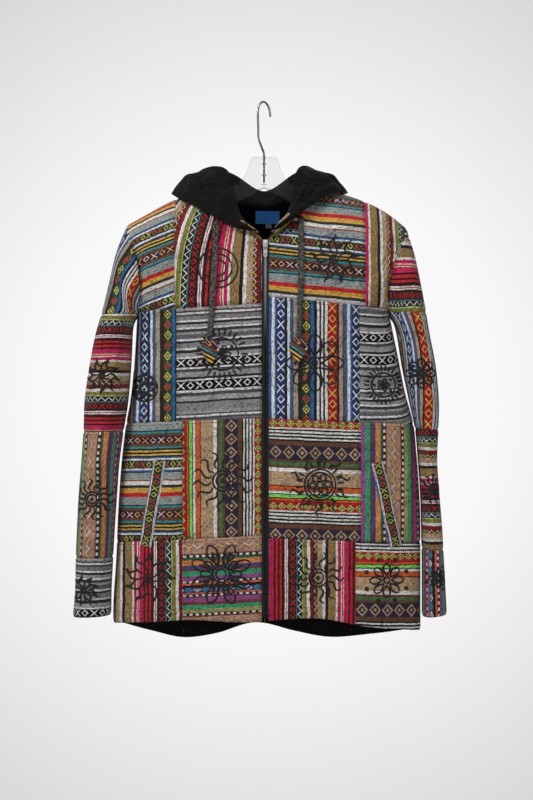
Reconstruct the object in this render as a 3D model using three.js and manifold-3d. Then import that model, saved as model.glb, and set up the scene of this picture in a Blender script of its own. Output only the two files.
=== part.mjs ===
// A patchwork cotton jacket with a hood, zipped and hung on a clear plastic hanger.
// Millimetres, +Z up. The origin is the inside of the hook's bend, where a rail carries it.
// +X is the wearer's left, and the front faces -Y.
import * as THREE from 'three';
import { mergeVertices } from 'three/addons/utils/BufferGeometryUtils.js';
import Module from 'manifold-3d';

const wasm = await Module();
wasm.setup();

// Thickness of each cloth, and the gaps between pieces.
const CLOTH = 1.6;
const HOOD_CLOTH = 1.5;
const LINING = 1.0;
const SEAM_GAP = 0.4;
const LAYER_GAP = 0.35;
const LINING_SLACK = 3.4;

// The body: shoulder line, side edges and hem as seen from the front, and its depth.
const UNDERARM_Z = -377;
const SIDE_HEM_Z = -913;
const SHOULDER_LINE = [
  { x: -242, z: -216 }, { x: -215, z: -201 }, { x: -159, z: -171 }, { x: -88, z: -150 }, { x: 0, z: -136 },
  { x: 88, z: -150 }, { x: 159, z: -167 }, { x: 213, z: -192 }, { x: 251, z: -221 },
];
const SIDE_EDGES = [
  { z: -925, right: -265, left: 275 }, { z: -882, right: -265, left: 275 },
  { z: -803, right: -260, left: 275 },
  { z: -709, right: -256, left: 274 }, { z: -617, right: -249, left: 268 },
  { z: -562, right: -242, left: 262 },
  { z: -514, right: -233, left: 249 }, { z: -445, right: -227, left: 235 },
  { z: UNDERARM_Z, right: -223, left: 221 },
];
const FRONT_HEM = [
  { x: -265, z: -913 }, { x: -196, z: -908 }, { x: -143, z: -905 }, { x: -4, z: -907 },
  { x: 48, z: -902 }, { x: 92, z: -901 }, { x: 159, z: -913 }, { x: 275, z: -926 },
];
const BACK_HEM = [
  { x: -265, z: -913 }, { x: -200, z: -934 }, { x: -149, z: -947 }, { x: -85, z: -940 },
  { x: -15, z: -919 },
  { x: 55, z: -936 }, { x: 116, z: -947 }, { x: 190, z: -940 }, { x: 275, z: -926 },
];
const DEPTHS = [
  { z: -940, front: 52, back: 60 }, { z: -760, front: 57, back: 58 }, { z: -560, front: 60, back: 58 },
  { z: -300, front: 64, back: 60 }, { z: -150, front: 62, back: 56 },
];
const FRONT_DROP = 100;
const BACK_DROP = 80;
const SIDE_ROUNDING = 2.8;
const ARMHOLE_SPREAD = 0.9;

// The largest folds of the body. A fold runs from its top down to its end, and fades in from its top.
const FRONT_FOLDS = [
  { topX: -150, topZ: -380, endX: -188, endZ: -905, width: 34, out: 6 },
  { topX: -105, topZ: -470, endX: -128, endZ: -905, width: 24, out: -4 },
  { topX: -50, topZ: -560, endX: -70, endZ: -905, width: 26, out: 4 },
  { topX: 62, topZ: -560, endX: 78, endZ: -905, width: 26, out: 4 },
  { topX: 118, topZ: -430, endX: 128, endZ: -905, width: 26, out: -4 },
  { topX: 160, topZ: -400, endX: 192, endZ: -905, width: 34, out: 6 },
];
const BACK_FOLDS = [
  { topX: -160, topZ: -390, endX: -152, endZ: -940, width: 52, out: 9 },
  { topX: -70, topZ: -520, endX: -80, endZ: -940, width: 34, out: 4 },
  { topX: -8, topZ: -430, endX: -14, endZ: -940, width: 40, out: -12 },
  { topX: 60, topZ: -500, endX: 52, endZ: -940, width: 30, out: 4 },
  { topX: 150, topZ: -390, endX: 122, endZ: -940, width: 52, out: 9 },
];

// The armholes: where each one's curve lies in from the straight line between shoulder tip and underarm.
const ARMHOLE_STEPS = 8;
const ARMHOLE_BOW = [0, 2, 5, 13, 17, 16, 11, 4, 0];
const SIDE_STEPS = 14;
const ROWS = ARMHOLE_STEPS + SIDE_STEPS;
// Rows over which a front follows the shoulder line above, and its hem below.
const SHOULDER_ROWS = 6;
const HEM_ROWS = 10;
const SHOULDER_TIP = { right: { x: -242, z: -216 }, left: { x: 251, z: -221 } };

// The neck seam from its point on the shoulder down to the zip, and round the back.
const NECK_STEPS = 7;
const NECK_POINT = { right: -88, left: 90 };
const FRONT_NECK = [
  { out: 1.0, z: -150 }, { out: 0.955, z: -160 }, { out: 0.87, z: -174 }, { out: 0.75, z: -189 },
  { out: 0.61, z: -204 }, { out: 0.45, z: -219 }, { out: 0.28, z: -233 }, { out: 0.1, z: -246 },
];
const BACK_NECK_DIP = 28;
const BACK_NECK_STEPS = 8;
const ZIP_EDGE = { right: -4, left: 8.5 };
const ZIP_TOP_Z = -246;

// Where the columns of points lie across a front, from its armhole to its zip, and across the back.
const FRONT_COLUMNS = [0, 0.018, 0.048, 0.095, 0.165, 0.26, 0.37, 0.49, 0.62, 0.75, 0.88, 1];
const BACK_SHOULDER_COLUMNS = [0, 0.03, 0.1, 0.24, 0.45, 0.71, 1];
const BACK_NECK_SHARE = 0.33;

// Sleeve rings below the armhole, from the inner side, next to the body, to the outer side.
const SLEEVE_RINGS = {
  right: [
    { inX: -226, inZ: -383, outX: -259, outZ: -262, front: 62, back: 62 },
    { inX: -229, inZ: -390, outX: -271, outZ: -312, front: 67, back: 66 },
    { inX: -231, inZ: -400, outX: -283, outZ: -363, front: 71, back: 70 },
    { inX: -232, inZ: -420, outX: -296, outZ: -408, front: 73, back: 72 },
    { inX: -234, inZ: -464, outX: -306, outZ: -460, front: 73, back: 73 },
    { inX: -239, inZ: -524, outX: -315, outZ: -522, front: 70, back: 70 },
    { inX: -247, inZ: -575, outX: -317, outZ: -575, front: 67, back: 67 },
    { inX: -254.5, inZ: -630, outX: -321, outZ: -630, front: 64, back: 64 },
    { inX: -259, inZ: -690, outX: -326, outZ: -690, front: 60, back: 61 },
    { inX: -263, inZ: -750, outX: -329, outZ: -750, front: 57, back: 58 },
    { inX: -266, inZ: -805, outX: -331, outZ: -806, front: 54, back: 55 },
    { inX: -268.5, inZ: -856, outX: -332, outZ: -858, front: 51, back: 52 },
    { inX: -269, inZ: -899, outX: -336, outZ: -902, front: 49, back: 50 },
  ],
  left: [
    { inX: 225, inZ: -383, outX: 264, outZ: -266, front: 60, back: 64 },
    { inX: 229, inZ: -390, outX: 274, outZ: -312, front: 63, back: 70 },
    { inX: 232, inZ: -400, outX: 283, outZ: -360, front: 65, back: 75 },
    { inX: 236, inZ: -420, outX: 291, outZ: -408, front: 66, back: 78 },
    { inX: 243, inZ: -464, outX: 301, outZ: -460, front: 65, back: 79 },
    { inX: 255.5, inZ: -524, outX: 307, outZ: -522, front: 62, back: 77 },
    { inX: 266.5, inZ: -575, outX: 306, outZ: -575, front: 60, back: 73 },
    { inX: 271.5, inZ: -630, outX: 304, outZ: -630, front: 58, back: 70 },
    { inX: 275.5, inZ: -690, outX: 308, outZ: -690, front: 56, back: 66 },
    { inX: 277, inZ: -750, outX: 313, outZ: -750, front: 54, back: 62 },
    { inX: 278, inZ: -805, outX: 316, outZ: -806, front: 52, back: 58 },
    { inX: 278, inZ: -856, outX: 319, outZ: -858, front: 50, back: 54 },
    { inX: 278, inZ: -902, outX: 321, outZ: -897, front: 49, back: 51 },
  ],
};
const SLEEVE_SQUARENESS = 2.25;
const SLEEVE_MIDDLE_X = 290;
// Each sleeve is three tubes of cloth sewn end to end: the rings where one ends and the next starts.
const SLEEVE_TUBES = [
  { name: 'upper', first: 0, last: 7 },
  { name: 'lower', first: 7, last: 11 },
  { name: 'cuff', first: 11, last: 13 },
];
// Creases of the sleeves, by angle from the outer side round by the front, in degrees.
const SLEEVE_FOLDS = {
  right: [
    { at: 62, z: -560, spread: 22, tall: 46, out: -5 },
    { at: 108, z: -500, spread: 24, tall: 60, out: -4 },
    { at: 40, z: -700, spread: 20, tall: 70, out: -4 },
    { at: 300, z: -600, spread: 26, tall: 60, out: -5 },
    { at: 250, z: -760, spread: 24, tall: 60, out: -4 },
  ],
  left: [
    { at: 330, z: -560, spread: 24, tall: 220, out: -5 },
    { at: 62, z: -640, spread: 22, tall: 60, out: -4 },
    { at: 300, z: -520, spread: 26, tall: 70, out: 4 },
    { at: 118, z: -460, spread: 24, tall: 60, out: -4 },
  ],
};

// The hood lies thrown back. Its rails run from the zip (first row) over the shoulder to the back's centre:
// the crest where the cloth folds over, the rim round the face opening, and how deep the pouch hangs.
const HOOD_RAILS = {
  right: [
    { crestX: -6, crestY: -66, crestZ: -239, rimX: -8, rimY: -68, rimZ: -233, pouch: 0 },
    { crestX: -24, crestY: -68, crestZ: -222, rimX: -27, rimY: -72, rimZ: -229, pouch: 0 },
    { crestX: -44, crestY: -66, crestZ: -202, rimX: -52, rimY: -73, rimZ: -225, pouch: 0 },
    { crestX: -60, crestY: -60, crestZ: -178, rimX: -78, rimY: -70, rimZ: -211, pouch: 0 },
    { crestX: -74, crestY: -52, crestZ: -155, rimX: -100, rimY: -62, rimZ: -197, pouch: 0 },
    { crestX: -87, crestY: -42, crestZ: -137, rimX: -123, rimY: -50, rimZ: -184, pouch: 0 },
    { crestX: -98, crestY: -26, crestZ: -124, rimX: -146, rimY: -33, rimZ: -173, pouch: 0 },
    { crestX: -106, crestY: -4, crestZ: -118, rimX: -162, rimY: 2, rimZ: -160, pouch: 0 },
    { crestX: -101, crestY: 26, crestZ: -119, rimX: -158, rimY: 48, rimZ: -156, pouch: 26 },
    { crestX: -84, crestY: 52, crestZ: -120, rimX: -132, rimY: 92, rimZ: -150, pouch: 88 },
    { crestX: -55, crestY: 70, crestZ: -126, rimX: -78, rimY: 122, rimZ: -148, pouch: 142 },
    { crestX: 0, crestY: 76, crestZ: -152, rimX: 0, rimY: 134, rimZ: -152, pouch: 170 },
  ],
  left: [
    { crestX: 10, crestY: -66, crestZ: -239, rimX: 12, rimY: -68, rimZ: -233, pouch: 0 },
    { crestX: 25, crestY: -67, crestZ: -220, rimX: 26, rimY: -73, rimZ: -226, pouch: 0 },
    { crestX: 41, crestY: -66, crestZ: -200, rimX: 44, rimY: -73, rimZ: -214, pouch: 0 },
    { crestX: 56, crestY: -60, crestZ: -178, rimX: 64, rimY: -70, rimZ: -199, pouch: 0 },
    { crestX: 68, crestY: -52, crestZ: -157, rimX: 84, rimY: -63, rimZ: -185, pouch: 0 },
    { crestX: 79, crestY: -42, crestZ: -140, rimX: 103, rimY: -50, rimZ: -171, pouch: 0 },
    { crestX: 88, crestY: -26, crestZ: -128, rimX: 124, rimY: -32, rimZ: -161, pouch: 0 },
    { crestX: 95, crestY: -4, crestZ: -123, rimX: 145, rimY: 2, rimZ: -158, pouch: 0 },
    { crestX: 91, crestY: 26, crestZ: -118, rimX: 146, rimY: 48, rimZ: -154, pouch: 26 },
    { crestX: 78, crestY: 52, crestZ: -114, rimX: 124, rimY: 92, rimZ: -150, pouch: 88 },
    { crestX: 54, crestY: 70, crestZ: -122, rimX: 76, rimY: 122, rimZ: -148, pouch: 142 },
    { crestX: 0, crestY: 76, crestZ: -152, rimX: 0, rimY: 134, rimZ: -152, pouch: 170 },
  ],
};
const HOOD_STEPS = 12;
const HOOD_PUFF = 7;
const FULL_POUCH = 60;
// Shares of the way from point to point at which a section of the hood bends, and how far it sinks.
const HOOD_BEND = { rise: 0.55, lean: -1.5, descent: 0.45, ascent: 0.5 };
const POUCH_SINK = { share: 0.45, crestSide: 0.06, rimSide: 0.2 };
const PUFF_SHARE = { bottom: 0.8, descent: 0.6, ascent: 0.4 };

// The front zip: tapes, chain, slider and pull.
const TAPE_WIDTH = 13;
const TAPE_THICK = 0.9;
const TAPE_DEPTH = 0.5;
const CHAIN_WIDTH = 5.2;
const CHAIN_THICK = 2.2;
const CHAIN_CENTRE = 2.3;
const CHAIN_TOP_Z = -253;
const ZIP_END_Z = -898;
const SLIDER = { wide: 9, tall: 13, top: -245.5, plate: 1.4, gap: 0.35, taper: 0.6, footHalf: 0.38 };
const POST = { wide: 2.6, above: 1.2, below: 1, bury: 0.2 };
const BRIDGE = { wide: 2.6, tall: 9, out: 4.4, thick: 1.4, drop: 2.2, bury: 0.3 };
const BRIDGE_CORNER = { foot: 1, toe: 1.2, brow: 2.4 };
const PULL = { wide: 6.6, long: 22, thick: 1.4, slotWide: 3.6, slotLong: 8.5, bar: 1.5, hole: 1.7 };
const PULL_GAP = 0.3;
const PULL_CORNER = 2;
const PULL_HOLE_UP = 4.2;
// How far in from a front's zip edge its surface is read.
const EDGE_PROBE = 0.05;

// Pocket welts: the middle of each end as seen from the front, and their width.
const WELT_WIDE = 22;
const WELT_THICK = 2;
const WELT_STEPS = 9;
const WELT_GAP = 0.6;
const WELTS = {
  right: { topX: -180.5, topZ: -627, endX: -206.5, endZ: -777 },
  left: { topX: 196, topZ: -631, endX: 229, endZ: -776 },
};

// Drawstrings: flat cords that leave the hood's hem and hang free, with a folded cloth tab on each.
const CORD_WIDE = 10;
const CORD_THICK = 3.2;
const CORD_STEPS = 11;
const CORD_POINTS = 7;
const CORD_SIDES = 8;
const CORD_GAP = 1.2;
const CORDS = {
  right: { topX: -83, topZ: -216, midX: -87, endX: -94.5, endZ: -418, tabTurn: 4 },
  left: { topX: 64, topZ: -208, midX: 64, endX: 60.5, endZ: -415, tabTurn: -3 },
};
const TAB = { wide: 32, long: 44, shoulder: 19, thick: 4.4, neck: 11, waist: 8, narrow: 3 };

const LABEL = { x: 6, z: -197, wide: 43, tall: 22.5, thick: 0.8 };
const LABEL_GAP = 0.6;
const SIZE_TAB = { x: 8, z: -212.6, wide: 11, tall: 7, thick: 0.8 };

// The hanger: a clear plastic plate with thick edges, and a wire hook that swivels in its top bar.
const FRAME_THICK = 12;
const WEB_THICK = 3;
const FLANGE = 2.6;
const FRAME = { topZ: -94, topHalf: 25, neckHalf: 45, neckZ: -143, peakZ: -149, armHalf: 207, armTip: 14 };
const TOP_CORNER = { across: 5, down: 4 };
const FLARE = { across: 6, down: 26, neckAcross: 5, neckUp: 8 };
const ARM_XS = [62, 85, 105, 130, 160, 186];
const ARM_DEPTH = 25;
const NECK_FOOT = 5;
const WIRE = 3.8;
const HOOK = { radius: 21.5, turn: 60, endZ: -141, endAngle: -6, bendSteps: 9, steps: 44 };
// The hook's straight side, elbow and shank, in its own plane.
const HOOK_SIDE = [
  { across: -20.6, z: -42 }, { across: -18, z: -66 }, { across: -8, z: -79 }, { across: 0, z: -90 },
  { across: 0, z: -100 }, { across: 0, z: HOOK.endZ },
];
const COLLARS = [-107, -127];
const COLLAR = { radius: 4, thick: 2 };
const SHANK_CLEARANCE = 0.3;
const SLOT_HALF = 4.6;
const RIB_HALF = 7;
const RIB_TALL = 120;
const SHANK_HOLE_TALL = 14;
const SLOT_ABOVE = 5;
const SLOT_BELOW = 2.5;
const ARM_BELOW_CLOTH = 7.4;
const ARM_BLEND = 30;

const COLOURS = {
  patchwork: 0x7c5a4a, hood: 0x6a5348, lining: 0x151515, label: 0x1565c8, tab: 0x6f7276, tape: 0x17181a,
  metal: 0xa8aaad, cord: 0x55565a, cordTab: 0x7a3d55, plastic: 0xe9edef, welt: 0x33563f,
};
const FINISHES = {
  cloth: { roughness: 0.95, metalness: 0 },
  metal: { roughness: 0.3, metalness: 1 },
  plastic: { roughness: 0.12, metalness: 0 },
};

const jacket = new THREE.Group();

function v3(x, y, z) {
  return new THREE.Vector3(x, y, z);
}

function mix(a, b, t) {
  return a + (b - a) * t;
}

function smooth(t) {
  const c = Math.min(1, Math.max(0, t));
  return c * c * (3 - 2 * c);
}

// The value of one named column of a table at a place along another, which rises from row to row.
function look(table, along, value, at) {
  if (at <= table[0][along]) return table[0][value];
  for (let i = 1; i < table.length; i += 1) {
    const a = table[i - 1];
    const b = table[i];
    if (at <= b[along]) return mix(a[value], b[value], (at - a[along]) / (b[along] - a[along]));
  }
  return table[table.length - 1][value];
}

// Side edges of the body at a height. Above the underarm they run on outwards under the sleeve caps.
function sideEdges(z) {
  const spread = Math.max(0, z - UNDERARM_Z) * ARMHOLE_SPREAD;
  return {
    right: look(SIDE_EDGES, 'z', 'right', z) - spread,
    left: look(SIDE_EDGES, 'z', 'left', z) + spread,
  };
}

function foldsAt(folds, x, z) {
  let sum = 0;
  for (const f of folds) {
    const t = (z - f.topZ) / (f.endZ - f.topZ);
    const off = (x - mix(f.topX, f.endX, t)) / f.width;
    sum += f.out * smooth(t * 1.6) * Math.exp(-off * off);
  }
  return sum;
}

// How far the front or back stands from the hanger's plane at a place seen from the front.
function bodyDepth(x, z, face) {
  const edges = sideEdges(z);
  const across = Math.abs((2 * (x - edges.right)) / (edges.left - edges.right) - 1);
  const side = (1 - Math.min(1, across) ** SIDE_ROUNDING) ** (1 / SIDE_ROUNDING);
  const drop = (look(SHOULDER_LINE, 'x', 'z', x) - z) / (face === 'front' ? FRONT_DROP : BACK_DROP);
  const top = Math.sqrt(1 - (1 - Math.min(1, Math.max(0, drop))) ** 2);
  const folds = foldsAt(face === 'front' ? FRONT_FOLDS : BACK_FOLDS, x, z);
  return side * top * (look(DEPTHS, 'z', face, z) + folds);
}

function onBody(x, z, face) {
  const depth = bodyDepth(x, z, face);
  return v3(x, face === 'front' ? -depth : depth, z);
}

// A point of an armhole, from the shoulder tip (0) to the underarm (ARMHOLE_STEPS).
function armholePoint(side, k, face) {
  const tip = SHOULDER_TIP[side];
  const down = (1 - Math.cos((Math.PI * k) / ARMHOLE_STEPS)) / 2;
  const under = sideEdges(UNDERARM_Z)[side];
  const inwards = side === 'right' ? 1 : -1;
  const x = mix(tip.x, under, down) + inwards * ARMHOLE_BOW[k];
  const z = mix(tip.z, UNDERARM_Z, down);
  if (k === 0 || k === ARMHOLE_STEPS) return v3(x, 0, z);
  return onBody(x, z, face);
}

// A point of the neck seam: front, from the shoulder (0) to the zip (NECK_STEPS).
function frontNeckPoint(side, k) {
  const row = FRONT_NECK[k];
  const middle = (ZIP_EDGE.right + ZIP_EDGE.left) / 2;
  const x = k === NECK_STEPS ? ZIP_EDGE[side] : mix(middle, NECK_POINT[side], row.out);
  return k === 0 ? v3(x, 0, row.z) : onBody(x, row.z, 'front');
}

// A point of the neck seam round the back, from the right shoulder (0) to the left one.
function backNeckPoint(k) {
  const t = k / BACK_NECK_STEPS;
  const x = mix(NECK_POINT.right, NECK_POINT.left, t);
  const z = FRONT_NECK[0].z - BACK_NECK_DIP * Math.sin(Math.PI * t) ** 0.75;
  return k === 0 || k === BACK_NECK_STEPS ? v3(x, 0, FRONT_NECK[0].z) : onBody(x, z, 'back');
}

// Unit normals of a grid of points, all turned to the side that `outwards` gives for the grid's middle.
function gridNormals(grid, closed, outwards) {
  const cols = grid.length;
  const rows = grid[0].length;
  const normals = grid.map((column, i) => column.map((point, j) => {
    const a = closed ? grid[(i + cols - 1) % cols][j] : grid[Math.max(0, i - 1)][j];
    const b = closed ? grid[(i + 1) % cols][j] : grid[Math.min(cols - 1, i + 1)][j];
    const c = grid[i][Math.max(0, j - 1)];
    const d = grid[i][Math.min(rows - 1, j + 1)];
    return b.clone().sub(a).cross(d.clone().sub(c)).normalize();
  }));
  const i = Math.floor(cols / 2);
  const j = Math.floor(rows / 2);
  const inwards = normals[i][j].dot(outwards(grid[i][j])) < 0;
  if (inwards) normals.forEach((column) => column.forEach((n) => n.negate()));
  return normals;
}

function shifted(grid, normals, amount) {
  return grid.map((column, i) => column.map((point, j) => {
    const by = typeof amount === 'function' ? amount(i, j) : amount;
    return point.clone().addScaledVector(normals[i][j], by);
  }));
}

function volumeOf(positions, index) {
  let sum = 0;
  const p = (i) => v3(positions[3 * i], positions[3 * i + 1], positions[3 * i + 2]);
  for (let i = 0; i < index.length; i += 3) {
    sum += p(index[i]).dot(p(index[i + 1]).cross(p(index[i + 2])));
  }
  return sum / 6;
}

function closedGeometry(positions, index) {
  const flipped = volumeOf(positions, index) < 0;
  const faces = flipped ? index.map((_, i) => index[i - (i % 3) + 2 - (i % 3)]) : index;
  const geometry = new THREE.BufferGeometry();
  geometry.setAttribute('position', new THREE.Float32BufferAttribute(positions, 3));
  geometry.setIndex(faces);
  return geometry;
}

// A closed wall between two grids of the same size: a sheet, or a tube where closed is true.
function wall(outer, inner, closed = false) {
  const cols = outer.length;
  const rows = outer[0].length;
  const positions = [];
  for (const column of [...outer, ...inner]) column.forEach((p) => positions.push(p.x, p.y, p.z));
  const at = (layer, i, j) => layer * cols * rows + (i % cols) * rows + j;
  const index = [];
  const quad = (a, b, c, d) => index.push(a, b, c, a, c, d);
  const spans = closed ? cols : cols - 1;
  for (let i = 0; i < spans; i += 1) {
    for (let j = 0; j < rows - 1; j += 1) {
      quad(at(0, i, j), at(0, i + 1, j), at(0, i + 1, j + 1), at(0, i, j + 1));
      index.push(at(1, i, j), at(1, i + 1, j + 1), at(1, i + 1, j));
      index.push(at(1, i, j), at(1, i, j + 1), at(1, i + 1, j + 1));
    }
    quad(at(0, i + 1, 0), at(0, i, 0), at(1, i, 0), at(1, i + 1, 0));
    quad(at(0, i, rows - 1), at(0, i + 1, rows - 1), at(1, i + 1, rows - 1), at(1, i, rows - 1));
  }
  if (!closed) {
    for (let j = 0; j < rows - 1; j += 1) {
      quad(at(0, 0, j), at(0, 0, j + 1), at(1, 0, j + 1), at(1, 0, j));
      quad(at(0, cols - 1, j + 1), at(0, cols - 1, j), at(1, cols - 1, j), at(1, cols - 1, j + 1));
    }
  }
  return closedGeometry(positions, index);
}

function addPiece(name, geometry, colour, finish) {
  const material = new THREE.MeshStandardMaterial({ color: colour, ...FINISHES[finish] });
  if (finish === 'plastic') {
    material.transparent = true;
    material.opacity = 0.35;
  }
  const mesh = new THREE.Mesh(geometry, material);
  mesh.name = name;
  jacket.add(mesh);
  return mesh;
}

function toManifold(geometry) {
  const bare = geometry.clone();
  ['normal', 'uv'].forEach((name) => bare.deleteAttribute(name));
  const merged = mergeVertices(bare, 1e-4);
  return new wasm.Manifold(new wasm.Mesh({
    numProp: 3,
    vertProperties: new Float32Array(merged.attributes.position.array),
    triVerts: new Uint32Array(merged.index.array),
  }));
}

function fromManifold(solid) {
  const mesh = solid.getMesh();
  const geometry = new THREE.BufferGeometry();
  geometry.setAttribute('position', new THREE.BufferAttribute(mesh.vertProperties, 3));
  geometry.setIndex(new THREE.BufferAttribute(mesh.triVerts, 1));
  return geometry;
}

// One front. Columns run from the armhole and side seam to the zip, rows from the shoulder to the hem.
function frontGrid(side) {
  const outwards = side === 'right' ? -1 : 1;
  const zipX = ZIP_EDGE[side];
  const edge = [];
  const inner = [];
  for (let k = 0; k <= ROWS; k += 1) {
    const below = (k - ARMHOLE_STEPS) / SIDE_STEPS;
    const hemZ = look(FRONT_HEM, 'x', 'z', sideEdges(SIDE_HEM_Z)[side]);
    const z = mix(UNDERARM_Z, hemZ, below);
    edge.push(k <= ARMHOLE_STEPS ? armholePoint(side, k, 'front') : v3(sideEdges(z)[side], 0, z));
    const down = (k - NECK_STEPS) / (ROWS - NECK_STEPS);
    const zipZ = mix(ZIP_TOP_Z, look(FRONT_HEM, 'x', 'z', zipX), down);
    inner.push(k <= NECK_STEPS ? frontNeckPoint(side, k) : v3(zipX, 0, zipZ));
  }
  return FRONT_COLUMNS.map((u, i) => edge.map((start, k) => {
    const end = inner[k];
    const x = mix(start.x, end.x, u);
    const straight = mix(start.z, end.z, u);
    const shoulder = look(SHOULDER_LINE, 'x', 'z', x);
    const hem = look(FRONT_HEM, 'x', 'z', x);
    const lift = (shoulder - mix(edge[0].z, inner[0].z, u)) * (1 - smooth(k / SHOULDER_ROWS));
    const nearHem = smooth((k - ROWS + HEM_ROWS) / HEM_ROWS);
    const fall = (hem - mix(edge[ROWS].z, inner[ROWS].z, u)) * nearHem;
    const z = k === 0 ? shoulder : straight + lift * u * (1 - u) * 4 + fall;
    if (k === 0) return v3(x, -SEAM_GAP / 2, z);
    if (i === 0 && k >= ARMHOLE_STEPS) return v3(x - outwards * SEAM_GAP / 2, -SEAM_GAP / 2, z);
    if (i === 0) return start.clone().setX(x - outwards * SEAM_GAP / 2);
    if (i === FRONT_COLUMNS.length - 1 && k <= NECK_STEPS) return end.clone();
    return onBody(x, z, 'front');
  }));
}

// The back. Columns run from the right armhole by the neck to the left one.
function backGrid() {
  const share = BACK_SHOULDER_COLUMNS;
  const wide = share.length - 1;
  const columns = 2 * wide + BACK_NECK_STEPS;
  const tops = [];
  for (let i = 0; i <= columns; i += 1) {
    const mirrored = share[columns - i];
    if (i < wide) tops.push(mix(SHOULDER_TIP.right.x, NECK_POINT.right, share[i]));
    else if (i > wide + BACK_NECK_STEPS) tops.push(mix(SHOULDER_TIP.left.x, NECK_POINT.left, mirrored));
    else tops.push(backNeckPoint(i - wide).x);
  }
  const rowEdges = [];
  for (let k = 0; k <= ROWS; k += 1) {
    const z = mix(UNDERARM_Z, SIDE_HEM_Z, (k - ARMHOLE_STEPS) / SIDE_STEPS);
    const ends = ['right', 'left'].map((side) => (
      k <= ARMHOLE_STEPS ? armholePoint(side, k, 'back').x : sideEdges(z)[side]));
    rowEdges.push(ends);
  }
  return tops.map((topX, i) => rowEdges.map(([right, left], k) => {
    const sides = { right, left };
    const neck = {
      right: mix(NECK_POINT.right, mix(right, left, BACK_NECK_SHARE), smooth(k / ARMHOLE_STEPS)),
      left: mix(NECK_POINT.left, mix(left, right, BACK_NECK_SHARE), smooth(k / ARMHOLE_STEPS)),
    };
    let x = mix(neck.right, neck.left, (i - wide) / BACK_NECK_STEPS);
    if (i < wide) x = mix(right, neck.right, share[i]);
    if (i > wide + BACK_NECK_STEPS) x = mix(left, neck.left, share[columns - i]);
    const isNeck = i >= wide && i <= wide + BACK_NECK_STEPS;
    const topZ = isNeck ? backNeckPoint(i - wide).z : look(SHOULDER_LINE, 'x', 'z', topX);
    const down = (1 - Math.cos((Math.PI * Math.min(k, ARMHOLE_STEPS)) / ARMHOLE_STEPS)) / 2;
    const side = i === 0 ? 'right' : 'left';
    const hem = look(BACK_HEM, 'x', 'z', x);
    const below = mix(UNDERARM_Z, hem, (k - ARMHOLE_STEPS) / SIDE_STEPS);
    const z = k <= ARMHOLE_STEPS ? mix(topZ, UNDERARM_Z, down) : below;
    if (k === 0 && isNeck && i > wide && i < columns - wide) return backNeckPoint(i - wide);
    if (k === 0) return v3(x, SEAM_GAP / 2, z);
    if (i === 0 || i === columns) {
      const inwards = side === 'right' ? 1 : -1;
      if (k >= ARMHOLE_STEPS) return v3(sides[side] + inwards * SEAM_GAP / 2, SEAM_GAP / 2, z);
      return armholePoint(side, k, 'back').add(v3(inwards * SEAM_GAP / 2, 0, 0));
    }
    return onBody(x, z, 'back');
  }));
}

function sleeveGrid(side) {
  const outwards = side === 'right' ? -1 : 1;
  const around = 2 * ARMHOLE_STEPS;
  const columns = [];
  for (let k = 0; k < around; k += 1) {
    const front = k <= ARMHOLE_STEPS;
    const armhole = armholePoint(side, front ? k : around - k, front ? 'front' : 'back');
    const column = [armhole.add(v3(outwards * SEAM_GAP / 2, 0, 0))];
    const angle = (Math.PI * k) / ARMHOLE_STEPS;
    for (const ring of SLEEVE_RINGS[side]) {
      const power = 2 / SLEEVE_SQUARENESS;
      const cos = Math.sign(Math.cos(angle)) * Math.abs(Math.cos(angle)) ** power;
      const sin = Math.sign(Math.sin(angle)) * Math.abs(Math.sin(angle)) ** power;
      const x = mix(ring.inX, ring.outX, (1 + cos) / 2);
      const z = mix(ring.inZ, ring.outZ, (1 + cos) / 2);
      const point = v3(x, -sin * (sin > 0 ? ring.front : ring.back), z);
      const centre = v3((ring.inX + ring.outX) / 2, 0, (ring.inZ + ring.outZ) / 2);
      let out = 0;
      for (const f of SLEEVE_FOLDS[side]) {
        const turn = (THREE.MathUtils.radToDeg(angle) - f.at) / f.spread;
        const up = (centre.z - f.z) / f.tall;
        out += f.out * Math.exp(-turn * turn - up * up);
      }
      const away = point.clone().sub(centre).normalize();
      column.push(point.addScaledVector(away, out));
    }
    columns.push(column);
  }
  return columns;
}

// Normals of the pieces, made the same where two pieces meet at a seam.
const frontGrids = { right: frontGrid('right'), left: frontGrid('left') };
const back = backGrid();
const sleeveGrids = { right: sleeveGrid('right'), left: sleeveGrid('left') };
const frontNormals = {
  right: gridNormals(frontGrids.right, false, () => v3(0, -1, 0)),
  left: gridNormals(frontGrids.left, false, () => v3(0, -1, 0)),
};
const backNormals = gridNormals(back, false, () => v3(0, 1, 0));
const sleeveNormals = {
  right: gridNormals(sleeveGrids.right, true, (p) => v3(p.x + SLEEVE_MIDDLE_X, p.y, 0)),
  left: gridNormals(sleeveGrids.left, true, (p) => v3(p.x - SLEEVE_MIDDLE_X, p.y, 0)),
};

function meet(...normals) {
  const sum = v3(0, 0, 0);
  normals.forEach((n) => sum.add(n));
  sum.normalize();
  normals.forEach((n) => n.copy(sum));
}

function flatten(normal, axis) {
  normal[axis] = 0;
  normal.normalize();
}

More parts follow.
